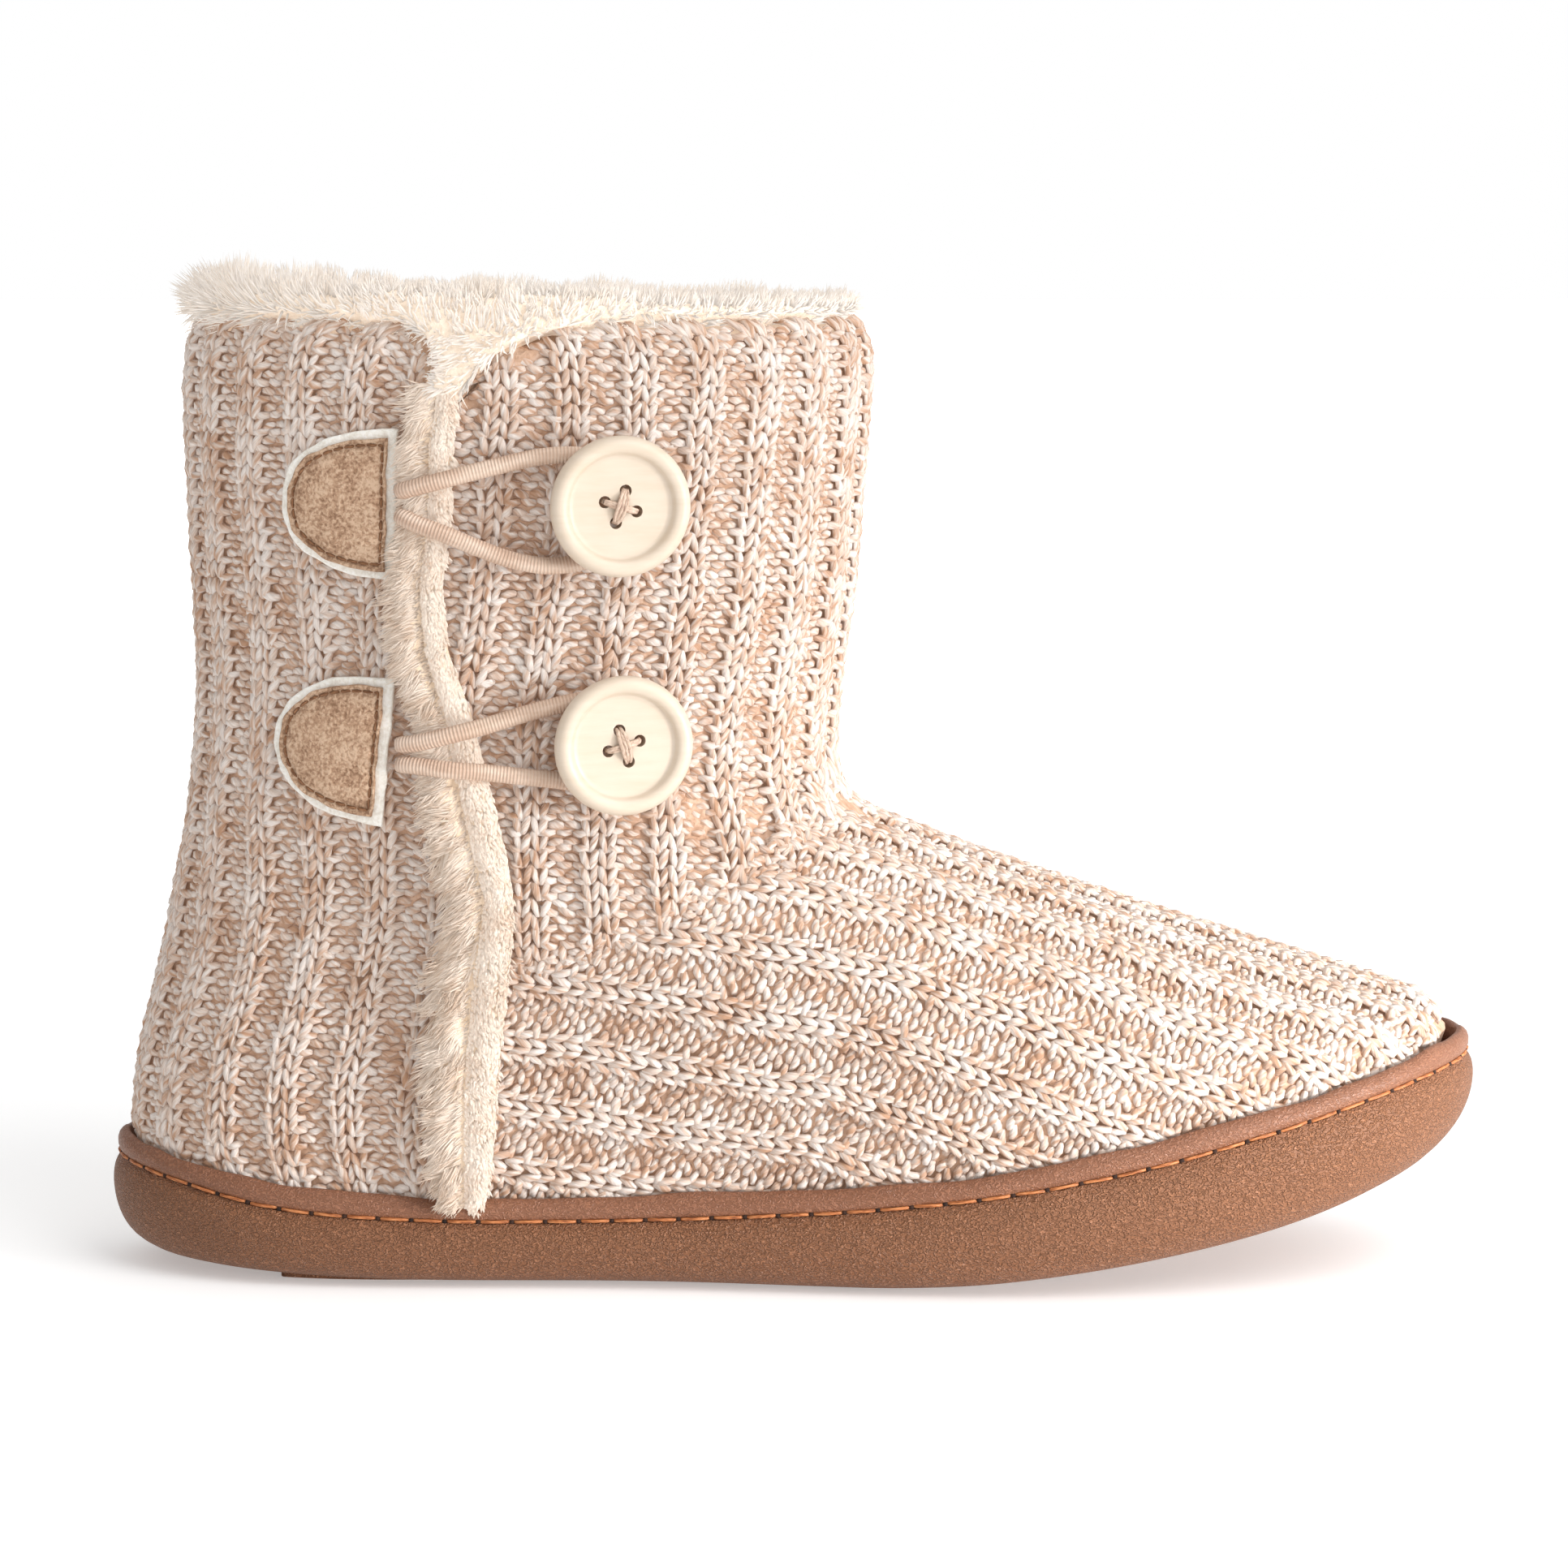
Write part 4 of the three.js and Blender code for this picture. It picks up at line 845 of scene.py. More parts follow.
wool = melange()
SHAFT_TO = 180.6
VAMP_SPAN = (-84.0, 115.0)
VAMP_MIDDLE = 2
back_panel = shaft_panel(11.0, SHAFT_TO, 36, front=False)
front_outer = shaft_panel(53.0, SHAFT_TO, 36, front=True)
front_inner = shaft_panel(53.0, SHAFT_TO, 36, front=True, inner=True)
vamp_outer = foot_panel(*VAMP_SPAN, 46, inner=False)
vamp_inner = foot_panel(*VAMP_SPAN, 46, inner=True)
KNIT = (
    ("knit_back_outer", back_panel, "back", lambda x, y, z: y < 0),
    ("knit_back_inner", back_panel, "back", lambda x, y, z: y >= 0),
    ("knit_front_outer", front_outer, "shaft", lambda x, y, z: y < 0),
    ("knit_front_inner", front_inner, "shaft", lambda x, y, z: y >= 0),
    ("knit_vamp_outer", vamp_outer, "foot", lambda x, y, z: y < VAMP_MIDDLE),
    ("knit_vamp_inner", vamp_inner, "foot", lambda x, y, z: y >= VAMP_MIDDLE),
)
for name, panel, kind, keep in KNIT:
    for part, (centres, radii, backs) in zip(("wrap_relief_and_groove_shade", "hollows"), knit_stitches(panel, kind, keep)):
        points, faces, layout = tubes(centres, radii, 5, backs, flat=0.88)
        knit = piece(f"{name}_{part}", points, faces, slot="rib_knit", stands_for=("upper",))
        count = layout[3]
        strand_marks(knit, layout, np.full(count, YARN_LENGTH), rng.random(count), rng)
        knit.data.materials.append(wool)


# The ground behind the stitches, seen only between the yarns: a sheet whose darker beige is painted
# shade of the yarn deeper in the knit, and whose faint glow is painted light.
# It is the imported solid with its outer face drawn in under the sunk wales, and its inner face
# is lined with fleece.
GROUND_DEPTH = 2.15
WALL_SHARE = 0.7
USUAL_WALL = 0.003


def faces_in(place, normal):
    """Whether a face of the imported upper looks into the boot, with walls around on three or
    all four sides."""
    level = [Vector(way) for way in ((1, 0, 0), (-1, 0, 0), (0, 1, 0), (0, -1, 0))]
    hits = [upper_tree.ray_cast(place + normal * 0.002, way)[0] for way in level]
    return sum(hit is not None for hit in hits) >= 3


def ground_mesh():
    """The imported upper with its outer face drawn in."""
    skin = bmesh.new()
    skin.from_mesh(nodes["upper"].data)
    bmesh.ops.remove_doubles(skin, verts=skin.verts, dist=1e-6)
    skin.normal_update()
    for face in skin.faces:
        face.material_index = int(faces_in(face.calc_center_median(), face.normal))
    for vert in skin.verts:
        vert.tag = not any(face.material_index for face in vert.link_faces)
    for vert in skin.verts:
        if vert.tag:
            inside = upper_tree.ray_cast(vert.co - vert.normal * 2e-4, -vert.normal)
            wall = inside[3] if inside[0] is not None else USUAL_WALL
            vert.co -= vert.normal * min(GROUND_DEPTH * 0.001, WALL_SHARE * wall)
    mesh = bpy.data.meshes.new("knit_ground_painted_shade")
    skin.to_mesh(mesh)
    skin.free()
    mesh.polygons.foreach_set("use_smooth", np.ones(len(mesh.polygons), bool))
    return mesh


# Darker beige than the yarn: painted shade in the gaps between stitches. The faint glow is painted
# light.
made, tree, shader = material("knit ground painted shade", 0.95, Emission_Strength=0.13)
spot = add_node(tree, "ShaderNodeTexCoord").outputs["Object"]
loops = add_node(tree, "ShaderNodeTexNoise", {"Vector": spot, "Scale": 700, "Detail": 3})
colour = shades(tree, loops.outputs["Fac"], [
    (0.3, (168, 132, 107)), (0.55, (190, 156, 132)), (0.75, (206, 178, 158))])
tree.links.new(colour, shader.inputs["Base Color"])
tree.links.new(colour, shader.inputs["Emission Color"])
bump = add_node(tree, "ShaderNodeBump", {"Height": loops.outputs["Fac"], "Distance": 0.0006})
tree.links.new(bump.outputs[0], shader.inputs["Normal"])
ground = bpy.data.objects.new("knit_ground_painted_shade", ground_mesh())
bpy.context.scene.collection.objects.link(ground)
ground.data.materials.append(made)
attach(ground, "root")
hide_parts("upper")


# The collar's pile: plush of short soft hairs, made as closed tapering locks rooted on a rounded
# bed. It is the lining's upper edge, which stands over the rim and fills the notch at the top of
# the slit.
COLLAR_HAIRS = 24000
COLLAR_SHOWN = 14000
NOTCH_X = 76
RIM_EDGE = 177.2
HAIR_LENGTH = 2.6
BACK_HAIR_EXTRA = 2.4
HAIR_SPREAD = 0.6
CELL_PRIMES = (73856093, 19349663, 83492791)


def bed_from(name, node, voxel, shrink, rounds=6):
    """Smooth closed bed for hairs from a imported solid, drawn in a little, as a new mesh."""
    source = bpy.data.objects.new(name, nodes[node].data.copy())
    bpy.context.scene.collection.objects.link(source)
    remesh = source.modifiers.new("remesh", "REMESH")
    remesh.mode = "VOXEL"
    remesh.voxel_size = voxel * 0.001
    smooth = source.modifiers.new("smooth", "SMOOTH")
    smooth.iterations = rounds
    graph = bpy.context.evaluated_depsgraph_get()
    mesh = bpy.data.meshes.new_from_object(source.evaluated_get(graph))
    bpy.data.objects.remove(source)
    count = len(mesh.vertices)
    points, normals = np.empty(count * 3, np.float32), np.empty(count * 3, np.float32)
    mesh.vertices.foreach_get("co", points)
    mesh.vertices.foreach_get("normal", normals)
    points = points.reshape(-1, 3) * 1000 - HEEL_TO_MIDDLE
    normals = normals.reshape(-1, 3)
    mesh.calc_loop_triangles()
    tris = np.empty(len(mesh.loop_triangles) * 3, np.int32)
    mesh.loop_triangles.foreach_get("vertices", tris)
    return points - shrink * normals, normals, tris.reshape(-1, 3)


def rooted(points, normals, tris, count):
    """Places spread evenly over a bed, with the bed's direction at each."""
    a, b, c = points[tris[:, 0]], points[tris[:, 1]], points[tris[:, 2]]
    area = np.linalg.norm(np.cross(b - a, c - a), axis=1)
    chosen = rng.choice(len(tris), count, p=area / area.sum())
    s, t = rng.random((2, count, 1))
    s, t = np.where(s + t > 1, 1 - s, s), np.where(s + t > 1, 1 - t, t)
    roots = a[chosen] + s * (b - a)[chosen] + t * (c - a)[chosen]
    facing = (normals[tris[chosen, 0]] * (1 - s - t) + normals[tris[chosen, 1]] * s
              + normals[tris[chosen, 2]] * t)
    return roots, facing / (np.linalg.norm(facing, axis=1, keepdims=True) + 1e-9)


def tufted(roots, lean, lengths, tuft, gather, curl, width):
    """Hair locks that lean one way, gather into tufts and curl a little at their tips."""
    cell = np.floor(roots / tuft + rng.random(3)).astype(int)
    key = np.bitwise_xor.reduce(cell * CELL_PRIMES, axis=1)
    _, member = np.unique(key, return_inverse=True)
    size = np.bincount(member).clip(1)
    middle = np.stack([np.bincount(member, roots[:, k]) / size for k in range(3)], -1)[member]
    shift = rng.normal(0, 0.22, (len(size), 3))[member]
    lean = lean + shift + rng.normal(0, 0.1, lean.shape)
    lean /= np.linalg.norm(lean, axis=1, keepdims=True)
    reach = (lengths * (0.8 + 0.4 * rng.random(len(size))[member]))[:, None]
    swirl = rng.normal(0, curl, roots.shape)
    tips = roots + lean * reach + gather * (middle - roots) + swirl
    bend = roots + lean * reach * 0.55 + 0.35 * gather * (middle - roots) + 0.2 * swirl
    base = roots + lean * reach * 0.16
    centres = np.stack((roots - lean * 0.6, base, bend, tips), axis=1)
    thick = width * (0.75 + 0.5 * rng.random((len(roots), 1)))
    return centres, thick * np.array((1.0, 0.72)), reach[:, 0]


def bed_marks(obj, layout, facing):
    """Marks each hair with the direction of the bed under it, for its soft shading."""
    marks = np.repeat(facing, layout[2], axis=0).astype(np.float32)
    attribute = obj.data.attributes.new("bed", "FLOAT_VECTOR", "POINT")
    attribute.data.foreach_set("vector", marks.ravel())


def pile_group():
    """Tone of each lock of hairs, and shading that follows the bed more than the hair."""
    group, start, end = shared_effect("plush locks", "Clouds per metre", ("Tone",), "Soft normal")
    own = add_node(group, "ShaderNodeNewGeometry").outputs["Normal"]
    bed = add_node(group, "ShaderNodeAttribute", attribute_name="bed").outputs["Vector"]
    leant = add_node(group, "ShaderNodeVectorMath", {0: bed, 1: (1.6, 1.6, 1.6), 2: own},
                     operation="MULTIPLY_ADD")
    soft = add_node(group, "ShaderNodeVectorMath", {0: leant.outputs[0]}, operation="NORMALIZE")
    group.links.new(soft.outputs[0], end["Soft normal"])
    strand = add_node(group, "ShaderNodeAttribute", attribute_name="strand").outputs["Vector"]
    spread = add_node(group, "ShaderNodeVectorMath", {0: strand, 1: (0.35, 4.0, 47.0)},
                      operation="MULTIPLY")
    tone = add_node(group, "ShaderNodeTexNoise", {"Vector": spread.outputs[0], "Scale": 1.0,
                                                  "Detail": 1})
    spot = add_node(group, "ShaderNodeTexCoord").outputs["Object"]
    cloud = add_node(group, "ShaderNodeTexNoise", {
        "Vector": spot, "Scale": start["Clouds per metre"], "Detail": 2})
    both = add_node(group, "ShaderNodeMath", {
        0: cloud.outputs["Fac"], 1: 0.7, 2: tone.outputs["Fac"]}, operation="MULTIPLY_ADD")
    group.links.new(both.outputs[0], end["Tone"])
    return group


plush_locks = pile_group()


def pile_material(name, stops, glow):
    """Plush hairs: cream, each lock its own tone. A faint glow stands in for the light that
    goes from hair to hair."""
    made, tree, shader = material(name, 0.9, Emission_Strength=glow)
    locks = add_node(tree, "ShaderNodeGroup", {"Clouds per metre": 160}, node_tree=plush_locks)
    tree.links.new(locks.outputs["Soft normal"], shader.inputs["Normal"])
    colour = shades(tree, locks.outputs["Tone"], stops)
    tree.links.new(colour, shader.inputs["Base Color"])
    tree.links.new(colour, shader.inputs["Emission Color"])
    return made


FUR_TONES = [(0.55, (208, 194, 179)), (0.75, (215, 203, 191)), (0.95, (220, 211, 202))]
# The turned-out band's tones are darker than the rest of the pile: painted shade, where that band
# lies in shadow.
SHADED_EDGE_TONES = [(0.5, (178, 149, 127)), (0.72, (201, 178, 158)), (0.95, (218, 202, 187))]
FOLD_TONES = [(0.5, (192, 165, 144)), (0.72, (209, 190, 173)), (0.95, (219, 205, 191))]
fur_cream = pile_material("cream pile", FUR_TONES, 0.58)
fold_cream = pile_material("folded pile", FOLD_TONES, 0.42)
shaded_edge_cream = pile_material("edge pile painted shade", SHADED_EDGE_TONES, 0.28)


def fleece_group():
    """Short curls that lie close together."""
    group, start, end = shared_effect("fleece curls", "Curls per metre", ("Curls",))
    spot = add_node(group, "ShaderNodeTexCoord").outputs["Object"]
    curls = add_node(group, "ShaderNodeTexNoise", {
        "Vector": spot, "Scale": start["Curls per metre"], "Detail": 3})
    group.links.new(curls.outputs["Fac"], end["Curls"])
    return group


fleece_curls = fleece_group()


def glowing_bed_material(name, stops, curls):
    """Fleece: the bed of the pile between the hairs, and the insole. A faint glow is painted light
    that lifts the shade between the hairs and inside the boot.
    """
    # The emission is painted light: it brightens the shade that falls between the hairs.
    made, tree, shader = material(name, 0.95, Emission_Strength=0.3)
    height = add_node(tree, "ShaderNodeGroup", {"Curls per metre": curls},
                      node_tree=fleece_curls).outputs["Curls"]
    colour = shades(tree, height, stops)
    tree.links.new(colour, shader.inputs["Base Color"])
    tree.links.new(colour, shader.inputs["Emission Color"])
    bump = add_node(tree, "ShaderNodeBump", {"Height": height, "Distance": 0.001})
    tree.links.new(bump.outputs[0], shader.inputs["Normal"])
    return made


fur_bed = glowing_bed_material("pile bed", [(0.3, (226, 206, 184)), (0.6, (240, 224, 206))], 500)
points, normals, tris = bed_from("collar_bed_source", "fur_collar", 1.5, 1.7)
tongue = (points[:, 1] < -36) & (np.abs(points[:, 0] - NOTCH_X) < 24)
points[tongue] += 1.2 * normals[tongue]
collar_bed = piece("fur_collar_bed", points, [tris], slot="pile", stands_for=("fur_collar",))
collar_bed.data.materials.append(fur_bed)

roots, facing = rooted(points, normals, tris, COLLAR_HAIRS)
radial = np.stack((roots[:, 0] - AXIS_X, roots[:, 1], np.zeros(len(roots))), -1)
radial /= np.linalg.norm(radial, axis=1, keepdims=True)
outer_face = (facing * radial).sum(1) > 0.15
in_notch = (roots[:, 1] < -38) & (np.abs(roots[:, 0] - NOTCH_X) < 17)
shown = ~(outer_face & (roots[:, 2] < RIM_EDGE) & ~in_notch) & (facing[:, 2] > -0.75)
roots, facing, radial = [part[shown][:COLLAR_SHOWN] for part in (roots, facing, radial)]
back = np.clip((60 - roots[:, 0]) / 50, 0, 1)
ahead = np.clip((roots[:, 0] - 80) / 40, 0, 1)
lean = 0.8 * facing + np.array((0, 0, 0.5)) + 0.25 * radial * back[:, None]
lean[:, 0] += 0.3 * ahead
low = (roots[:, 2] < 176) & (roots[:, 1] < -38)
lean[low] += (-0.45, -0.1, -0.75)
turned = np.arctan2(roots[:, 1], roots[:, 0] - AXIS_X)
lumps = 0.5 * np.sin(11 * turned + 1) + 0.35 * np.sin(19 * turned + 2) + 0.25 * np.sin(31 * turned)
mass = np.clip((50 - roots[:, 0]) / 12, 0, 1)
lengths = HAIR_LENGTH + BACK_HAIR_EXTRA * mass + lumps * (0.5 + 0.5 * mass)
lengths += HAIR_SPREAD * rng.random(len(roots))
centres, radii, spans = tufted(roots, lean, lengths, 3.4, 0.24, 0.3, 0.24)
points, faces, layout = tubes(centres, radii, 3, facing)
collar_fur = piece("fur_collar_pile", points, faces, slot="pile", stands_for=("fur_collar",))
strand_marks(collar_fur, layout, spans, rng.random(layout[3]), rng)
bed_marks(collar_fur, layout, facing)
collar_fur.data.materials.append(fur_cream)


# The pile down the slit: the lining's plush edge is turned out over the back panel as a furry
# band, with a smoother rolled band along the front panel and a fold between the two.
PLACKET_HAIRS = 5500
ROLL_HAIRS = 8000
PLACKET_DEPTH = 3.2
PLACKET_FROM = 14.5
PLACKET_TO = 168
PLACKET_STEP = 1.1
CREASED_AT = 65.5
TURNS_OUT_AT = 162.4
PLACKET_Z = (14.5, 18, 30, 44.4, 59.6, 67.2, 74.9, 80.9,
             95.9, 107.7, 119.5, 131.2, 143.0, 156.1, 162.6)
PLACKET_BACK = (65.4, 64.4, 62.8, 63.4, 64.1, 66.4, 67.8, 65.8,
                62.4, 61.6, 58.9, 58.2, 59.7, 59.8, 61.5)
PLACKET_FRONT = (71.6, 72.6, 74.4, 75.5, 77.4, 78.2, 78.3, 77.4,
                 74.0, 71.1, 67.0, 66.2, 67.7, 68.4, 69.0)
PLACKET_HUMPS = (0.1, 0.5, 0.8, 0.95, 1, 0.97, 0.86, 0.66, 0.42,
                 0.5, 0.72, 0.86, 0.92, 0.9, 0.78, 0.5, 0.08)
PRESSED_Z = (93, 97, 102, 108, 112, 120, 134, 140, 147, 152, 157)
PRESSED_BY = (1, 0.56, 0.5, 0.52, 1, 1, 0.95, 0.56, 0.52, 0.56, 0.95)


def touch(x, z):
    """First place of the knit that is met from the outer side at x and z, if there is one."""
    start = (np.array((x, -200, z)) + HEEL_TO_MIDDLE) * 0.001
    hit = upper_tree.ray_cast(Vector(start), Vector((0, 1, 0)))
    return np.array(hit[0]) * 1000 - HEEL_TO_MIDDLE if hit[0] is not None else None


def side_spot(x, z):
    """Place on the outer side of the knit at x and z in the side view, and its direction."""
    middle = touch(x, z)
    if middle is None or middle[1] > 0:
        return None, None
    reach = 3.0
    sides = [touch(x + dx, z + dz) for dx, dz in ((-reach, 0), (reach, 0), (0, -reach), (0, reach))]
    sides = [middle if spot is None or spot[1] > 0 else spot for spot in sides]
    normal = np.cross(sides[1] - sides[0], sides[3] - sides[2])
    return middle, normal / np.linalg.norm(normal)


def placket_mesh():
    """The folded band, laid on the knit from the welt up into the notch. It is pressed flat
    where the elastic loops cross it, and creased across between the lower loop and the welt."""
    heights = np.arange(PLACKET_FROM, PLACKET_TO, PLACKET_STEP)
    shares = np.linspace(0, 1, len(PLACKET_HUMPS))
    top, normals = [], []
    for z in heights:
        back = np.interp(z, PLACKET_Z, PLACKET_BACK)
        front = np.interp(z, PLACKET_Z, PLACKET_FRONT)
        deep = PLACKET_DEPTH * np.interp(z, PRESSED_Z, PRESSED_BY)
        over = z - CREASED_AT
        fold = 1 - 0.8 * math.exp(-(over / 1.7) ** 2) + 0.2 * math.exp(-((over - 4.5) / 2.5) ** 2)
        end = min(1.0, (z - PLACKET_FROM + 1) / 3, (PLACKET_TO + 1 - z) / 9)
        above = max(0.0, z - TURNS_OUT_AT)
        filled = 0.75 * min(max((50 - z) / 14, 0), 1)
        row, normal_row = [], []
        for share, hump in zip(shares, PLACKET_HUMPS):
            hump = hump + filled * max(0.86 - hump, 0) * (0.25 < share < 0.75)
            spot, normal = side_spot(back + share * (front - back), z - above)
            spot = spot + (0, 0.1 * above, above)
            row.append(spot + normal * (0.25 + deep * hump * end * (fold if share < 0.5 else 1)))
            normal_row.append(normal)
        top.append(row)
        normals.append(normal_row)
    top, normals = np.array(top), np.array(normals)
    under = top - normals * np.maximum(0.2, (np.array(PLACKET_HUMPS)[None, :, None] * 2.6))
    count = len(shares)
    rings = np.concatenate((top, under[:, ::-1]), axis=1)
    step = np.arange(count - 1)
    lid = np.stack((step, step + 1, 2 * count - 2 - step, 2 * count - 1 - step), -1)
    last = (len(heights) - 1) * 2 * count
    faces = [ring_faces(len(heights), 2 * count), lid[:, ::-1], lid + last]
    return rings.reshape(-1, 3), faces, top, normals, heights, shares


points, faces, top, normals, heights, shares = placket_mesh()
placket_bed = piece("fur_placket_bed", points, faces, slot="pile", stands_for=("fur_placket",))
placket_bed.data.materials.append(glowing_bed_material(
    "folded pile bed", [(0.3, (206, 180, 152)), (0.62, (222, 202, 180))], 420))


def on_placket(low, high, count):
    """Places spread over a share of the band's width, with the band's direction there."""
    row = rng.random(count) * (len(heights) - 1.01)
    column = (low + (high - low) * rng.random(count)) * (len(shares) - 1.01)
    r, c = row.astype(int), column.astype(int)
    fr, fc = (row - r)[:, None], (column - c)[:, None]
    roots, facing = [
        ((table[r, c] * (1 - fc) + table[r, c + 1] * fc) * (1 - fr)
         + (table[r + 1, c] * (1 - fc) + table[r + 1, c + 1] * fc) * fr)
        for table in (top, normals)]
    return roots, facing, column / (len(shares) - 1)


roots, facing, share = on_placket(0.0, 0.5, PLACKET_HAIRS)
lean = 0.5 * facing + (-0.7, 0, -0.42)
lengths = np.where(share > 0.44, 2.2, 4.4) * (0.75 + 0.5 * rng.random(len(share)))
lengths *= (np.interp(roots[:, 2], PRESSED_Z, np.sqrt(PRESSED_BY))
            * np.clip((roots[:, 2] - 12) / 8, 0.4, 1))
centres, radii, spans = tufted(roots, lean, lengths, 2.8, 0.3, 0.25, 0.2)
points, faces, layout = tubes(centres, radii, 3, facing)
placket_fur = piece("fur_placket_pile", points, faces, slot="pile", stands_for=("fur_placket",))
strand_marks(placket_fur, layout, spans, rng.random(layout[3]), rng)
bed_marks(placket_fur, layout, facing)
# Darker tones on this band: painted shade.
placket_fur.data.materials.append(shaded_edge_cream)

roots, facing, share = on_placket(0.52, 1.0, ROLL_HAIRS)
lean = 0.45 * facing + (0.2, 0, -0.8)
lengths = np.where(share < 0.6, 0.7, 1.5) * (0.7 + 0.6 * rng.random(len(share)))
centres, radii, spans = tufted(roots, lean, lengths, 2.0, 0.05, 0.06, 0.3)
points, faces, layout = tubes(centres[:, (0, 2, 3)], radii[:, :1], 3, facing)
rolled_fur = piece("fur_placket_roll", points, faces, slot="pile", stands_for=("fur_placket",))
strand_marks(rolled_fur, layout, spans, rng.random(layout[3]), rng)
bed_marks(rolled_fur, layout, facing)
rolled_fur.data.materials.append(fold_cream)


# The two tabs: a D of suede stitched on a slightly larger D of off-white felt, both lying on
# the back panel. The ends of the elastic loops are caught under their straight edge.
SHAFT_DEPTH = 129.2
SHAFT_HEIGHT = 177.5
TABS = {"upper": (AXIS_X - 0.1633 * SHAFT_DEPTH, 0.8203 * SHAFT_HEIGHT, 0.03),
        "lower": (AXIS_X - 0.1788 * SHAFT_DEPTH, 0.5679 * SHAFT_HEIGHT, 0.1)}
TAB_HEIGHT = 27.0
TAB_REACH = 21.0
TAB_CURVE = 2 / 2.3
TAB_STEPS = 60
SUEDE_BORDER = 1.6
TAB_STITCH = 2.0
TAB_THREAD_RADII = (0.22, 0.28, 0.3, 0.28, 0.22)


def tab_outline(border, wobble):
    """Places round the D: along its arc, then down its straight edge."""
    half = TAB_HEIGHT / 2 - border
    reach = TAB_REACH - 2 * border
    turn = np.linspace(-math.pi / 2, math.pi / 2, TAB_STEPS)
    arc = np.stack((-border - reach * np.abs(np.cos(turn)) ** TAB_CURVE,
                    half * np.sign(np.sin(turn)) * np.abs(np.sin(turn)) ** TAB_CURVE), -1)
    down = np.linspace(half, -half, TAB_STEPS // 2 + 2)[1:-1]
    edge = np.stack((np.full(len(down), -border), down), -1)
    outline = np.concatenate((arc, edge))
    run = np.linspace(0, 2 * math.pi, len(outline), endpoint=False)
    phase = rng.random(4) * 6
    wave = wobble * (np.sin(5 * run + phase[0]) + np.sin(9 * run + phase[1])
                     + 0.6 * np.sin(17 * run + phase[2]))
    centre = np.array((-TAB_REACH * 0.45, 0))
    away = outline - centre
    return outline + away / np.linalg.norm(away, axis=1, keepdims=True) * wave[:, None], centre


def on_tab(tab, places, heights):
    """Places of a tab's own plane laid on the knit at given heights."""
    edge_x, middle_z, lean = TABS[tab]
    laid = []
    for (a, b), height in zip(places, heights):
        x = edge_x + a * math.cos(lean) + b * math.sin(lean)
        z = middle_z - a * math.sin(lean) + b * math.cos(lean)
        spot, normal = side_spot(x, z)
        laid.append(spot + normal * height)
    return np.array(laid)


def tab_layer(tab, border, low, high, wobble, dish):
    """One closed layer of a tab with a rounded rim, sunk along a line of stitches by dish."""
    outline, centre = tab_outline(border, wobble)
    section = ((0.15, low), (0.6, low), (0.97, low), (1, low + 0.3 * (high - low)),
               (1, low + 0.75 * (high - low)), (0.985, high - 0.06), (0.96, high),
               (0.92, high - dish), (0.885, high - 1.1 * dish), (0.85, high - 0.3 * dish),
               (0.78, high + 0.04), (0.6, high + 0.1), (0.4, high + 0.12), (0.15, high + 0.12))
    rings = []
    for scale, height in section:
        places = centre + (outline - centre) * scale
        rings.append(on_tab(tab, places, np.full(len(places), height)))
    count = len(outline)
    lid = np.arange(count)[None, :]
    points = np.concatenate(rings)
    return points, [ring_faces(len(rings), count), lid[:, ::-1], lid + count * (len(rings) - 1)]


def nap_group():
    """Short brushed nap: fine soft flecks over broader strokes."""
    group, start, end = shared_effect("brushed nap", "Flecks per metre", ("Flecks", "Tone"))
    spot = add_node(group, "ShaderNodeTexCoord").outputs["Object"]
    strokes = add_node(group, "ShaderNodeTexNoise", {"Vector": spot, "Scale": 220, "Detail": 3})
    turned = add_node(group, "ShaderNodeVectorMath", {0: strokes.outputs["Color"], "Scale": 0.0012},
                      operation="SCALE")
    warped = add_node(group, "ShaderNodeVectorMath", {0: spot, 1: turned.outputs[0]})
    flecks = add_node(group, "ShaderNodeTexNoise", {
        "Vector": warped.outputs[0], "Scale": start["Flecks per metre"], "Detail": 3,
        "Roughness": 0.6})
    both = add_node(group, "ShaderNodeMath", {
        0: strokes.outputs["Fac"], 1: 0.5, 2: flecks.outputs["Fac"]}, operation="MULTIPLY_ADD")
    group.links.new(flecks.outputs["Fac"], end["Flecks"])
    group.links.new(both.outputs[0], end["Tone"])
    return group


brushed_nap = nap_group()


def nap_material(name, stops, flecks, depth):
    """Suede or felt with its nap."""
    made, tree, shader = material(name, 0.95)
    nap = add_node(tree, "ShaderNodeGroup", {"Flecks per metre": flecks}, node_tree=brushed_nap)
    tree.links.new(shades(tree, nap.outputs["Tone"], stops), shader.inputs["Base Color"])
    bump = add_node(tree, "ShaderNodeBump", {
        "Height": nap.outputs["Flecks"], "Strength": 0.8, "Distance": depth})
    tree.links.new(bump.outputs[0], shader.inputs["Normal"])
    return made


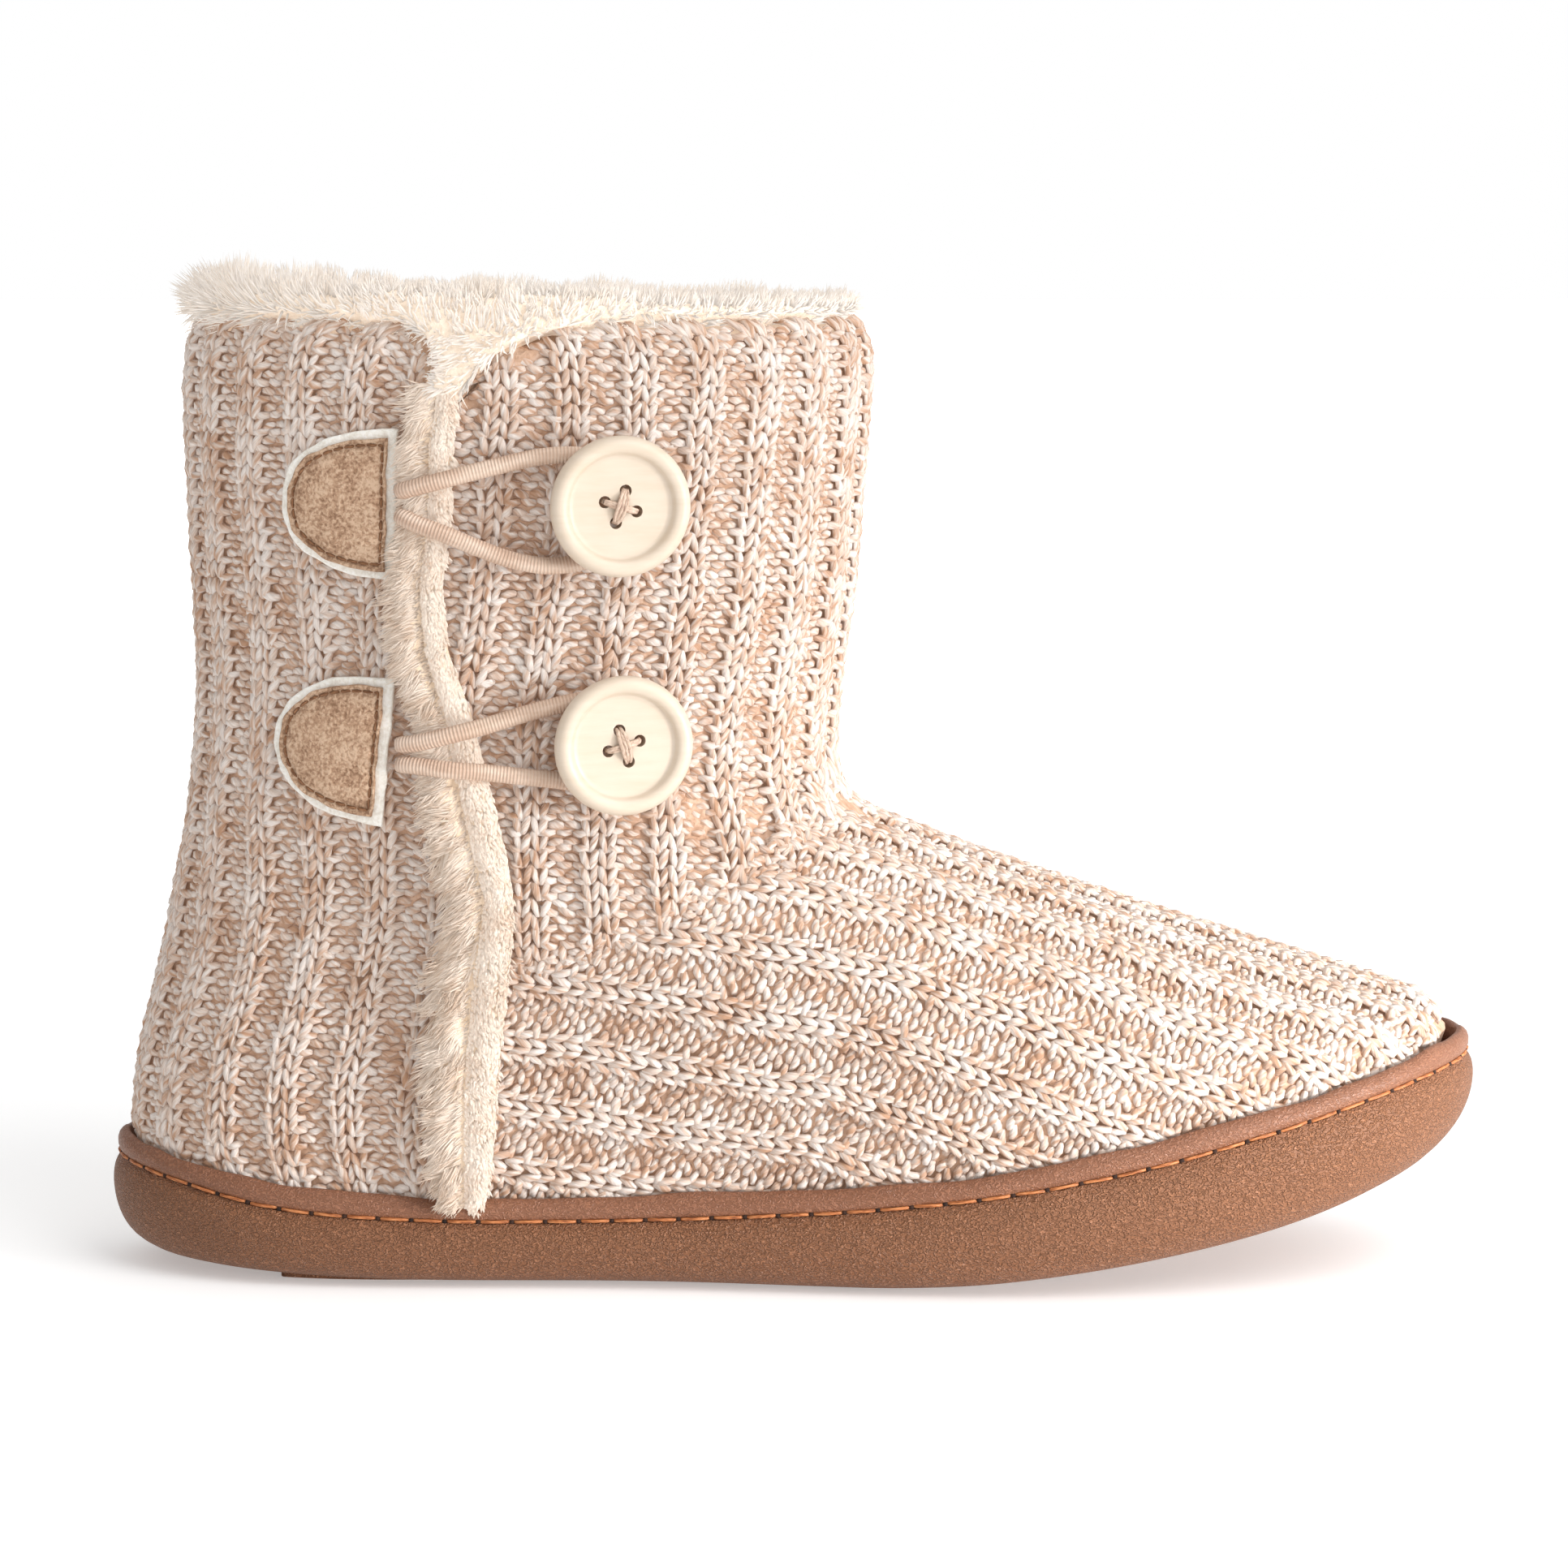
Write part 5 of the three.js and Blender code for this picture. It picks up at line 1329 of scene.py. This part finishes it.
suede = nap_material("tab suede", [
    (0.55, (140, 106, 82)), (0.72, (182, 146, 118)), (0.88, (212, 180, 152))], 1500, 0.0008)
felt = nap_material("tab felt", [
    (0.55, (226, 218, 206)), (0.75, (241, 236, 226)), (0.9, (249, 246, 240))], 1300, 0.0003)
tab_thread = thread_material("tab thread", [
    (0.3, (92, 60, 38)), (0.55, (132, 92, 62)), (0.75, (160, 118, 86))])
for tab in TABS:
    backing = piece(f"tab_felt_{tab}", *tab_layer(tab, 0, 0.35, 1.5, 0.1, 0.0),
                    slot="tab_felt", stands_for=(f"tab_backing_{tab}",))
    backing.data.materials.append(felt)
    facing_piece = piece(f"tab_suede_{tab}", *tab_layer(tab, SUEDE_BORDER, 1.55, 2.6, 0.12, 0.45),
                         slot="tab_suede", stands_for=(f"tab_facing_{tab}",))
    facing_piece.data.materials.append(suede)
    outline, centre = tab_outline(SUEDE_BORDER, 0.0)
    inner = centre + (outline - centre) * 0.9
    closed = np.vstack((inner, inner[:1]))
    run = np.r_[0, np.cumsum(np.linalg.norm(np.diff(closed, axis=0), axis=1))]
    count = round(run[-1] / TAB_STITCH)
    share = np.array((0.02, 0.12, 0.3, 0.5, 0.7, 0.88, 0.98))
    at = (np.arange(count)[:, None] + share[None]) * run[-1] / count
    sunk = np.broadcast_to((1.5, 2.05, 2.3, 2.36, 2.3, 2.05, 1.5), at.shape)
    places = np.stack((np.interp(at, run, closed[:, 0]), np.interp(at, run, closed[:, 1])), -1)
    laid = on_tab(tab, places.reshape(-1, 2), sunk.ravel()).reshape(count, 7, 3)
    radii = np.broadcast_to(TAB_THREAD_RADII, (count, 5))
    points, faces, layout = tubes(laid, radii, 6, np.tile((0.0, -1.0, 0.0), (count, 1)))
    seam = piece(f"tab_stitches_{tab}", points, faces, slot="tab_suede",
                 stands_for=(f"tab_facing_{tab}",))
    strand_marks(seam, layout, np.full(count, TAB_STITCH), rng.random(count), rng)
    seam.data.materials.append(tab_thread)


# The elastic loops: round cord in a fine wrapped cover, from under each tab round the shank of
# its button and back.
BUTTONS = {"upper": (AXIS_X + 0.1354 * SHAFT_DEPTH, 0.8231 * SHAFT_HEIGHT),
           "lower": (AXIS_X + 0.1362 * SHAFT_DEPTH, 0.5803 * SHAFT_HEIGHT)}
ROUTES = {
    "upper": ((-38, 2.1, 3.1), (-34.6, 3, 4.1), (-29.6, 4.4, 4), (-21.6, 6.5, 2.6),
              (-11.6, 8.6, 2.3), (-3.6, 8.2, 2.2), (2.4, 4.5, 2.2), (4.6, -0.7, 2.2),
              (2.4, -5.9, 2.2), (-3.1, -9.5, 2.2), (-10.6, -11.1, 2.3), (-17.6, -10.1, 2.5),
              (-23.6, -7.9, 3.1), (-29.6, -5.2, 4), (-34.6, -3.3, 4.1), (-38, -1.7, 3.1)),
    "lower": ((-38.7, -0.6, 3.1), (-34.7, 0, 3.9), (-28.7, 1.6, 4.1), (-22.7, 3.2, 2.9),
              (-12.7, 6.2, 2.3), (-4.7, 7.6, 2.2), (2.3, 5.2, 2.2), (4.7, -0.2, 2.2),
              (2.3, -5.6, 2.2), (-4.7, -7.4, 2.2), (-12.7, -6.6, 2.3), (-22.7, -5.4, 2.9),
              (-28.7, -4.8, 4.1), (-34.7, -4.2, 3.9), (-38.7, -4, 3.1)),
}
CORD_RADIUS = 1.55
CORD_STEPS = 260
WRAP_PITCH = 0.62


def through(points, steps):
    """Even steps along a smooth curve through the points."""
    points = np.asarray(points)
    knots = np.r_[0, np.cumsum(np.sqrt(np.linalg.norm(np.diff(points, axis=0), axis=1)))]
    fine = np.linspace(0, knots[-1], 3000)
    curve = np.stack([smooth_curve(fine, knots, points[:, k]) for k in range(3)], -1)
    run = np.r_[0, np.cumsum(np.linalg.norm(np.diff(curve, axis=0), axis=1))]
    at = np.linspace(0, run[-1], steps)
    return np.stack([np.interp(at, run, curve[:, k]) for k in range(3)], -1), run[-1]


def cord_material():
    """A tight thread wrapped round the core: fine even ribs with a soft sheen, whose grooves are
    painted a little darker than their crests as painted shade.
    """
    made, tree, shader = material("elastic cover", 0.6)
    strand = add_node(tree, "ShaderNodeAttribute", attribute_name="strand").outputs["Vector"]
    parts = add_node(tree, "ShaderNodeSeparateXYZ", {0: strand})
    phase = add_node(tree, "ShaderNodeMath", {
        0: parts.outputs["X"], 1: 2 * math.pi / WRAP_PITCH, 2: parts.outputs["Y"]},
        operation="MULTIPLY_ADD")
    wrap_relief_and_groove_shade = add_node(tree, "ShaderNodeMath", {0: phase.outputs[0]}, operation="SINE")
    spread = add_node(tree, "ShaderNodeVectorMath", {0: strand, 1: (0.12, 5.0, 1.0)},
                      operation="MULTIPLY")
    threads = add_node(tree, "ShaderNodeTexNoise", {"Vector": spread.outputs[0], "Scale": 1.0,
                                                    "Detail": 2})
    # The wraps' relief feeds the colour too: crests lighter, grooves darker, painted shade between
    # the wraps.
    tone = add_node(tree, "ShaderNodeMath", {
        0: wrap_relief_and_groove_shade.outputs[0], 1: 0.1, 2: threads.outputs["Fac"]}, operation="MULTIPLY_ADD")
    tree.links.new(shades(tree, tone.outputs[0], [
        (0.3, (192, 160, 138)), (0.5, (208, 180, 159)), (0.7, (220, 196, 177))]),
        shader.inputs["Base Color"])
    bump = add_node(tree, "ShaderNodeBump", {
        "Height": wrap_relief_and_groove_shade.outputs[0], "Strength": 0.7, "Distance": 0.0001})
    tree.links.new(bump.outputs[0], shader.inputs["Normal"])
    return made


elastic = cord_material()
for where, route in ROUTES.items():
    button_x, button_z = BUTTONS[where]
    laid = []
    for across, up, lift in route:
        spot, normal = side_spot(button_x + across, button_z + up)
        laid.append(spot + normal * lift)
    path, length = through(laid, CORD_STEPS)
    radii = np.full(CORD_STEPS - 2, CORD_RADIUS)
    radii[:2] *= 0.9
    radii[-2:] *= 0.9
    points, faces, layout = tubes(path[None], radii[None], 14, np.array(((0.0, -1.0, 0.0),)))
    cord = piece(f"elastic_cord_{where}", points, faces, slot="elastic_cord",
                 stands_for=(f"elastic_loop_{where}",))
    strand_marks(cord, layout, np.array([length]), np.array([0.5]), rng)
    cord.data.materials.append(elastic)


# The buttons: turned from pale wood with a rolled rim, a dished face and four drilled holes,
# each sewn on with a crossed thread and a shank that lifts it off the knit.
BUTTON_RADIUS = 12.7
BUTTON_THICKNESS = 4.2
EDGE_DEGREES = 40
HOLE_CIRCLE = 3.0
HOLE_RADIUS = 1.1
HOLE_TURN = {"upper": -0.08, "lower": 0.55}
FACE_HEIGHT = 0.62 * BUTTON_THICKNESS
THREAD_RADIUS = 0.36
BUTTON_SECTION = ((0, 0), (0.5, 0), (0.83, 0), (0.9, 0.05), (0.95, 0.18), (0.985, 0.34), (1, 0.5),
                  (0.995, 0.64), (0.975, 0.8), (0.94, 0.92), (0.9, 0.985), (0.865, 1.0),
                  (0.825, 0.985), (0.79, 0.94), (0.765, 0.86), (0.75, 0.76), (0.735, 0.68),
                  (0.715, 0.64), (0.66, 0.63), (0.4, 0.62), (0, 0.62))


def button_frame(node):
    """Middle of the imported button's back face, and the turn that faces it outwards."""
    mesh = nodes[node].data
    spots = np.array([vert.co for vert in mesh.vertices]) * 1000 - HEEL_TO_MIDDLE
    spots = np.unique(spots.round(3), axis=0)
    middle = (spots.min(0) + spots.max(0)) / 2
    _, _, axes = np.linalg.svd(spots - spots.mean(0), full_matrices=False)
    normal = axes[2] * (-1 if axes[2][1] > 0 else 1)
    flat = (spots - middle) @ normal
    turn = Vector((0, 0, 1)).rotation_difference(Vector(normal))
    return middle + normal * flat.min(), np.array(turn.to_matrix())


def turned_button(turn):
    """The button in its own frame, drilled through, as a new mesh."""
    mesh = bpy.data.meshes.new("button")
    shape = bmesh.new()
    profile = [shape.verts.new((radius * BUTTON_RADIUS, 0, height * BUTTON_THICKNESS))
               for radius, height in BUTTON_SECTION]
    edges = [shape.edges.new(pair) for pair in zip(profile[:-1], profile[1:])]
    bmesh.ops.spin(shape, geom=profile + edges, cent=(0, 0, 0), axis=(0, 0, 1),
                   angle=2 * math.pi, steps=120, use_merge=True)
    bmesh.ops.remove_doubles(shape, verts=shape.verts, dist=0.001)
    bmesh.ops.recalc_face_normals(shape, faces=shape.faces)
    shape.to_mesh(mesh)
    shape.free()
    blank = bpy.data.objects.new("blank", mesh)
    bpy.context.scene.collection.objects.link(blank)
    drills = bmesh.new()
    for k in range(4):
        angle = turn + k * math.pi / 2
        place = Matrix.Translation((HOLE_CIRCLE * math.cos(angle), HOLE_CIRCLE * math.sin(angle), 0))
        bmesh.ops.create_cone(drills, cap_ends=True, segments=28, radius1=HOLE_RADIUS,
                              radius2=HOLE_RADIUS, depth=12, matrix=place)
    drill_mesh = bpy.data.meshes.new("drills")
    drills.to_mesh(drill_mesh)
    drills.free()
    drill = bpy.data.objects.new("drills", drill_mesh)
    bpy.context.scene.collection.objects.link(drill)
    cut = blank.modifiers.new("drill", "BOOLEAN")
    cut.object = drill
    cut.operation = "DIFFERENCE"
    cut.solver = "EXACT"
    graph = bpy.context.evaluated_depsgraph_get()
    made = bpy.data.meshes.new_from_object(blank.evaluated_get(graph))
    bpy.data.objects.remove(blank)
    bpy.data.objects.remove(drill)
    return made


def wood_material():
    """Pale turned wood under a thin satin lacquer, with faint long grain."""
    made, tree, shader = material("pale turned wood", 0.42, Coat_Weight=0.25, Coat_Roughness=0.3)
    spot = add_node(tree, "ShaderNodeTexCoord").outputs["Object"]
    along = add_node(tree, "ShaderNodeMapping", {"Vector": spot, "Rotation": (0, 0.5, 0),
                                                 "Scale": (60, 60, 520)})
    lines = add_node(tree, "ShaderNodeTexNoise", {"Vector": along.outputs[0], "Scale": 1.6,
                                                  "Detail": 4, "Roughness": 0.65})
    cloud = add_node(tree, "ShaderNodeTexNoise", {"Vector": spot, "Scale": 120, "Detail": 2})
    both = add_node(tree, "ShaderNodeMath", {
        0: cloud.outputs["Fac"], 1: 0.5, 2: lines.outputs["Fac"]}, operation="MULTIPLY_ADD")
    tree.links.new(shades(tree, both.outputs[0], [
        (0.5, (207, 189, 167)), (0.7, (210, 193, 173)), (0.9, (213, 197, 178))]),
        shader.inputs["Base Color"])
    bump = add_node(tree, "ShaderNodeBump", {
        "Height": lines.outputs["Fac"], "Strength": 0.25, "Distance": 0.0001})
    tree.links.new(bump.outputs[0], shader.inputs["Normal"])
    return made


wood = wood_material()
sewing = thread_material("sewing thread", [
    (0.3, (160, 130, 112)), (0.5, (198, 172, 152)), (0.72, (220, 198, 180))])
for where in BUTTONS:
    base, turn = button_frame(f"button_{where}")
    button = bpy.data.objects.new(f"wood_button_{where}", turned_button(HOLE_TURN[where]))
    bpy.context.scene.collection.objects.link(button)
    to_metres = Matrix.Translation((base + HEEL_TO_MIDDLE) * 0.001) @ Matrix(turn).to_4x4()
    button.data.transform(to_metres @ Matrix.Scale(0.001, 4))
    button.data.polygons.foreach_set("use_smooth", np.ones(len(button.data.polygons), bool))
    button.data.set_sharp_from_angle(angle=math.radians(EDGE_DEGREES))
    button.data.materials.clear()
    button.data.materials.append(wood)
    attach(button, "root")
    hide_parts(f"button_{where}")

    strands = []
    for bar, crown, spread in ((0, 0.95, 0.62), (1, 0.35, 0.3)):
        angle = HOLE_TURN[where] + (math.pi / 2 if bar == 0 else 0)
        ahead = np.array((math.cos(angle), math.sin(angle)))
        aside = np.array((-ahead[1], ahead[0]))
        for shift in (-spread, 0.0, spread):
            reach = HOLE_CIRCLE + rng.normal(0, 0.08)
            crest = FACE_HEIGHT + 0.3 + 0.6 * crown
            profile = ((-reach, -2.4), (-reach, FACE_HEIGHT - 0.9),
                       (-reach + 0.35, FACE_HEIGHT + 0.1), (-1.5, crest),
                       (0, FACE_HEIGHT + 0.35 + crown), (1.5, crest),
                       (reach - 0.35, FACE_HEIGHT + 0.1), (reach, FACE_HEIGHT - 0.9),
                       (reach, -2.4))
            line = [(*(ahead * a + aside * shift * (1 if abs(a) < 2 else 0.6)), h)
                    for a, h in profile]
            strands.append(through(line, 30)[0])
    for k in range(7):
        angle = k * 2 * math.pi / 7
        spin = 0.9 * np.array((math.cos(angle), math.sin(angle)))
        strands.append(through([(*(spin * 1.6), -0.1), (*spin, -1.2), (*spin[::-1], -3.0),
                                (*(spin * 1.2), -4.6)], 30)[0])
    local = np.stack(strands)
    centres = local @ turn.T + base
    radii = np.broadcast_to(THREAD_RADIUS, (len(local), 28))
    lift = np.broadcast_to(turn[:, 2] + 0.3 * turn[:, 0], (len(local), 3))
    points, faces, layout = tubes(centres, radii, 8, lift)
    thread = piece(f"sewn_thread_{where}", points, faces, slot="button_thread",
                   stands_for=(f"button_thread_{where}",))
    strand_marks(thread, layout, np.full(len(local), 12.0), rng.random(len(local)), rng)
    thread.data.materials.append(sewing)


# The insole, a soft footbed covered with fleece that lies on the sole, and the lining: plush on
# the shaft's inner wall, which shows through the collar from above.
LINING_HAIRS = 4000
LINING_FROM = 132
LINING_DEEP = 38
fleece = glowing_bed_material("insole fleece", [(0.3, (214, 194, 168)), (0.6, (240, 228, 210))], 380)
points, normals, tris = bed_from("insole_source", "insole", 2.2, 0.2, rounds=2)
insole = piece("insole_fleece", points + normals * rng.normal(0, 0.16, (len(points), 1)), [tris],
               slot="insole_fleece", stands_for=("insole",))
insole.data.materials.append(fleece)

turns = rng.random(LINING_HAIRS) * 2 * math.pi
heights = LINING_FROM + LINING_DEEP * rng.random(LINING_HAIRS) ** 0.8
roots, facing = [], []
for turn, height in zip(turns, heights):
    ray = Vector((math.cos(turn), math.sin(turn), 0))
    start = Vector((np.array((AXIS_X, 0, height)) + HEEL_TO_MIDDLE) * 0.001)
    hit = upper_tree.ray_cast(start, ray)
    if hit[0] is not None:
        roots.append(np.array(hit[0]) * 1000 - HEEL_TO_MIDDLE)
        facing.append(-np.array(ray))
roots, facing = np.array(roots), np.array(facing)
lean = 0.7 * facing + np.array((0, 0, -0.5))
centres, radii, spans = tufted(roots, lean, np.full(len(roots), 5.0), 4.0, 0.4, 0.4, 0.5)
points, faces, layout = tubes(centres, radii, 3, facing)
lining = piece("lining_pile", points, faces, slot="pile", stands_for=("upper",))
strand_marks(lining, layout, spans, rng.random(layout[3]), rng)
bed_marks(lining, layout, facing)
lining.data.materials.append(fur_cream)
ground.data.materials.append(glowing_bed_material(
    "fleece backing", [(0.3, (214, 194, 174)), (0.62, (226, 211, 196))], 420))


# Floor and light: a pale floor that fades into a white backdrop, a broad soft light from the
# toe's side, two low ones for the sole's side wall and the toe, and surroundings that are
# darker on the heel's side.
floor_mesh = bpy.data.meshes.new("floor")
floor_mesh.from_pydata([(-6, -6, 0), (6, -6, 0), (6, 9, 0), (-6, 9, 0)], [], [(0, 1, 2, 3)])
floor = bpy.data.objects.new("floor", floor_mesh)
bpy.context.scene.collection.objects.link(floor)
made, tree, shader = material("pale floor", 0.9)
shader.inputs["Base Color"].default_value = (0.9, 0.9, 0.9, 1)
shader.inputs["Emission Color"].default_value = (1, 1, 1, 1)
spot = add_node(tree, "ShaderNodeTexCoord").outputs["Object"]
away = add_node(tree, "ShaderNodeVectorMath", {0: spot}, operation="LENGTH")
glow = add_node(tree, "ShaderNodeMapRange", {
    "Value": away.outputs["Value"], "From Min": 0.4, "From Max": 1.4, "To Min": 0.33, "To Max": 1.0})
tree.links.new(glow.outputs[0], shader.inputs["Emission Strength"])
floor.data.materials.append(made)

world = bpy.data.worlds.new("studio")
bpy.context.scene.world = world
world.use_nodes = True
tree = world.node_tree
ahead = add_node(tree, "ShaderNodeSeparateXYZ", {
    0: add_node(tree, "ShaderNodeTexCoord").outputs["Generated"]})
side = add_node(tree, "ShaderNodeMapRange", {
    "Value": ahead.outputs["X"], "From Min": -1, "From Max": 1, "To Min": 0.34, "To Max": 0.98})
seen = add_node(tree, "ShaderNodeLightPath").outputs["Is Camera Ray"]
level = add_node(tree, "ShaderNodeMix", {0: seen, 2: side.outputs[0], 3: 1.0}, data_type="FLOAT")
tree.links.new(level.outputs[0], tree.nodes["Background"].inputs["Strength"])
tree.nodes["Background"].inputs["Color"].default_value = (1, 1, 1, 1)


def soft_light(name, place, aim, size, power, cone=None):
    """Square area light, or round light with a soft-edged cone, that looks at a point."""
    lamp = bpy.data.objects.new(name, bpy.data.lights.new(name, "SPOT" if cone else "AREA"))
    if cone:
        lamp.data.spot_size = math.radians(cone)
        lamp.data.spot_blend = 1.0
        lamp.data.shadow_soft_size = size / 2
    else:
        lamp.data.size = size
    lamp.data.energy = power
    lamp.location = place
    lamp.rotation_euler = (Vector(aim) - Vector(place)).to_track_quat("-Z", "Y").to_euler()
    bpy.context.scene.collection.objects.link(lamp)


soft_light("key", (0.9, -1.0, 1.3), (0, 0, 0.08), 1.3, 15)
soft_light("low side", (0.95, -0.6, 0.1), (0.1, 0, 0.02), 0.3, 5)
soft_light("toe", (1.0, -0.6, 0.04), (0.14, 0, 0.005), 0.15, 84, cone=18)
bpy.context.scene.view_settings.view_transform = "Standard"
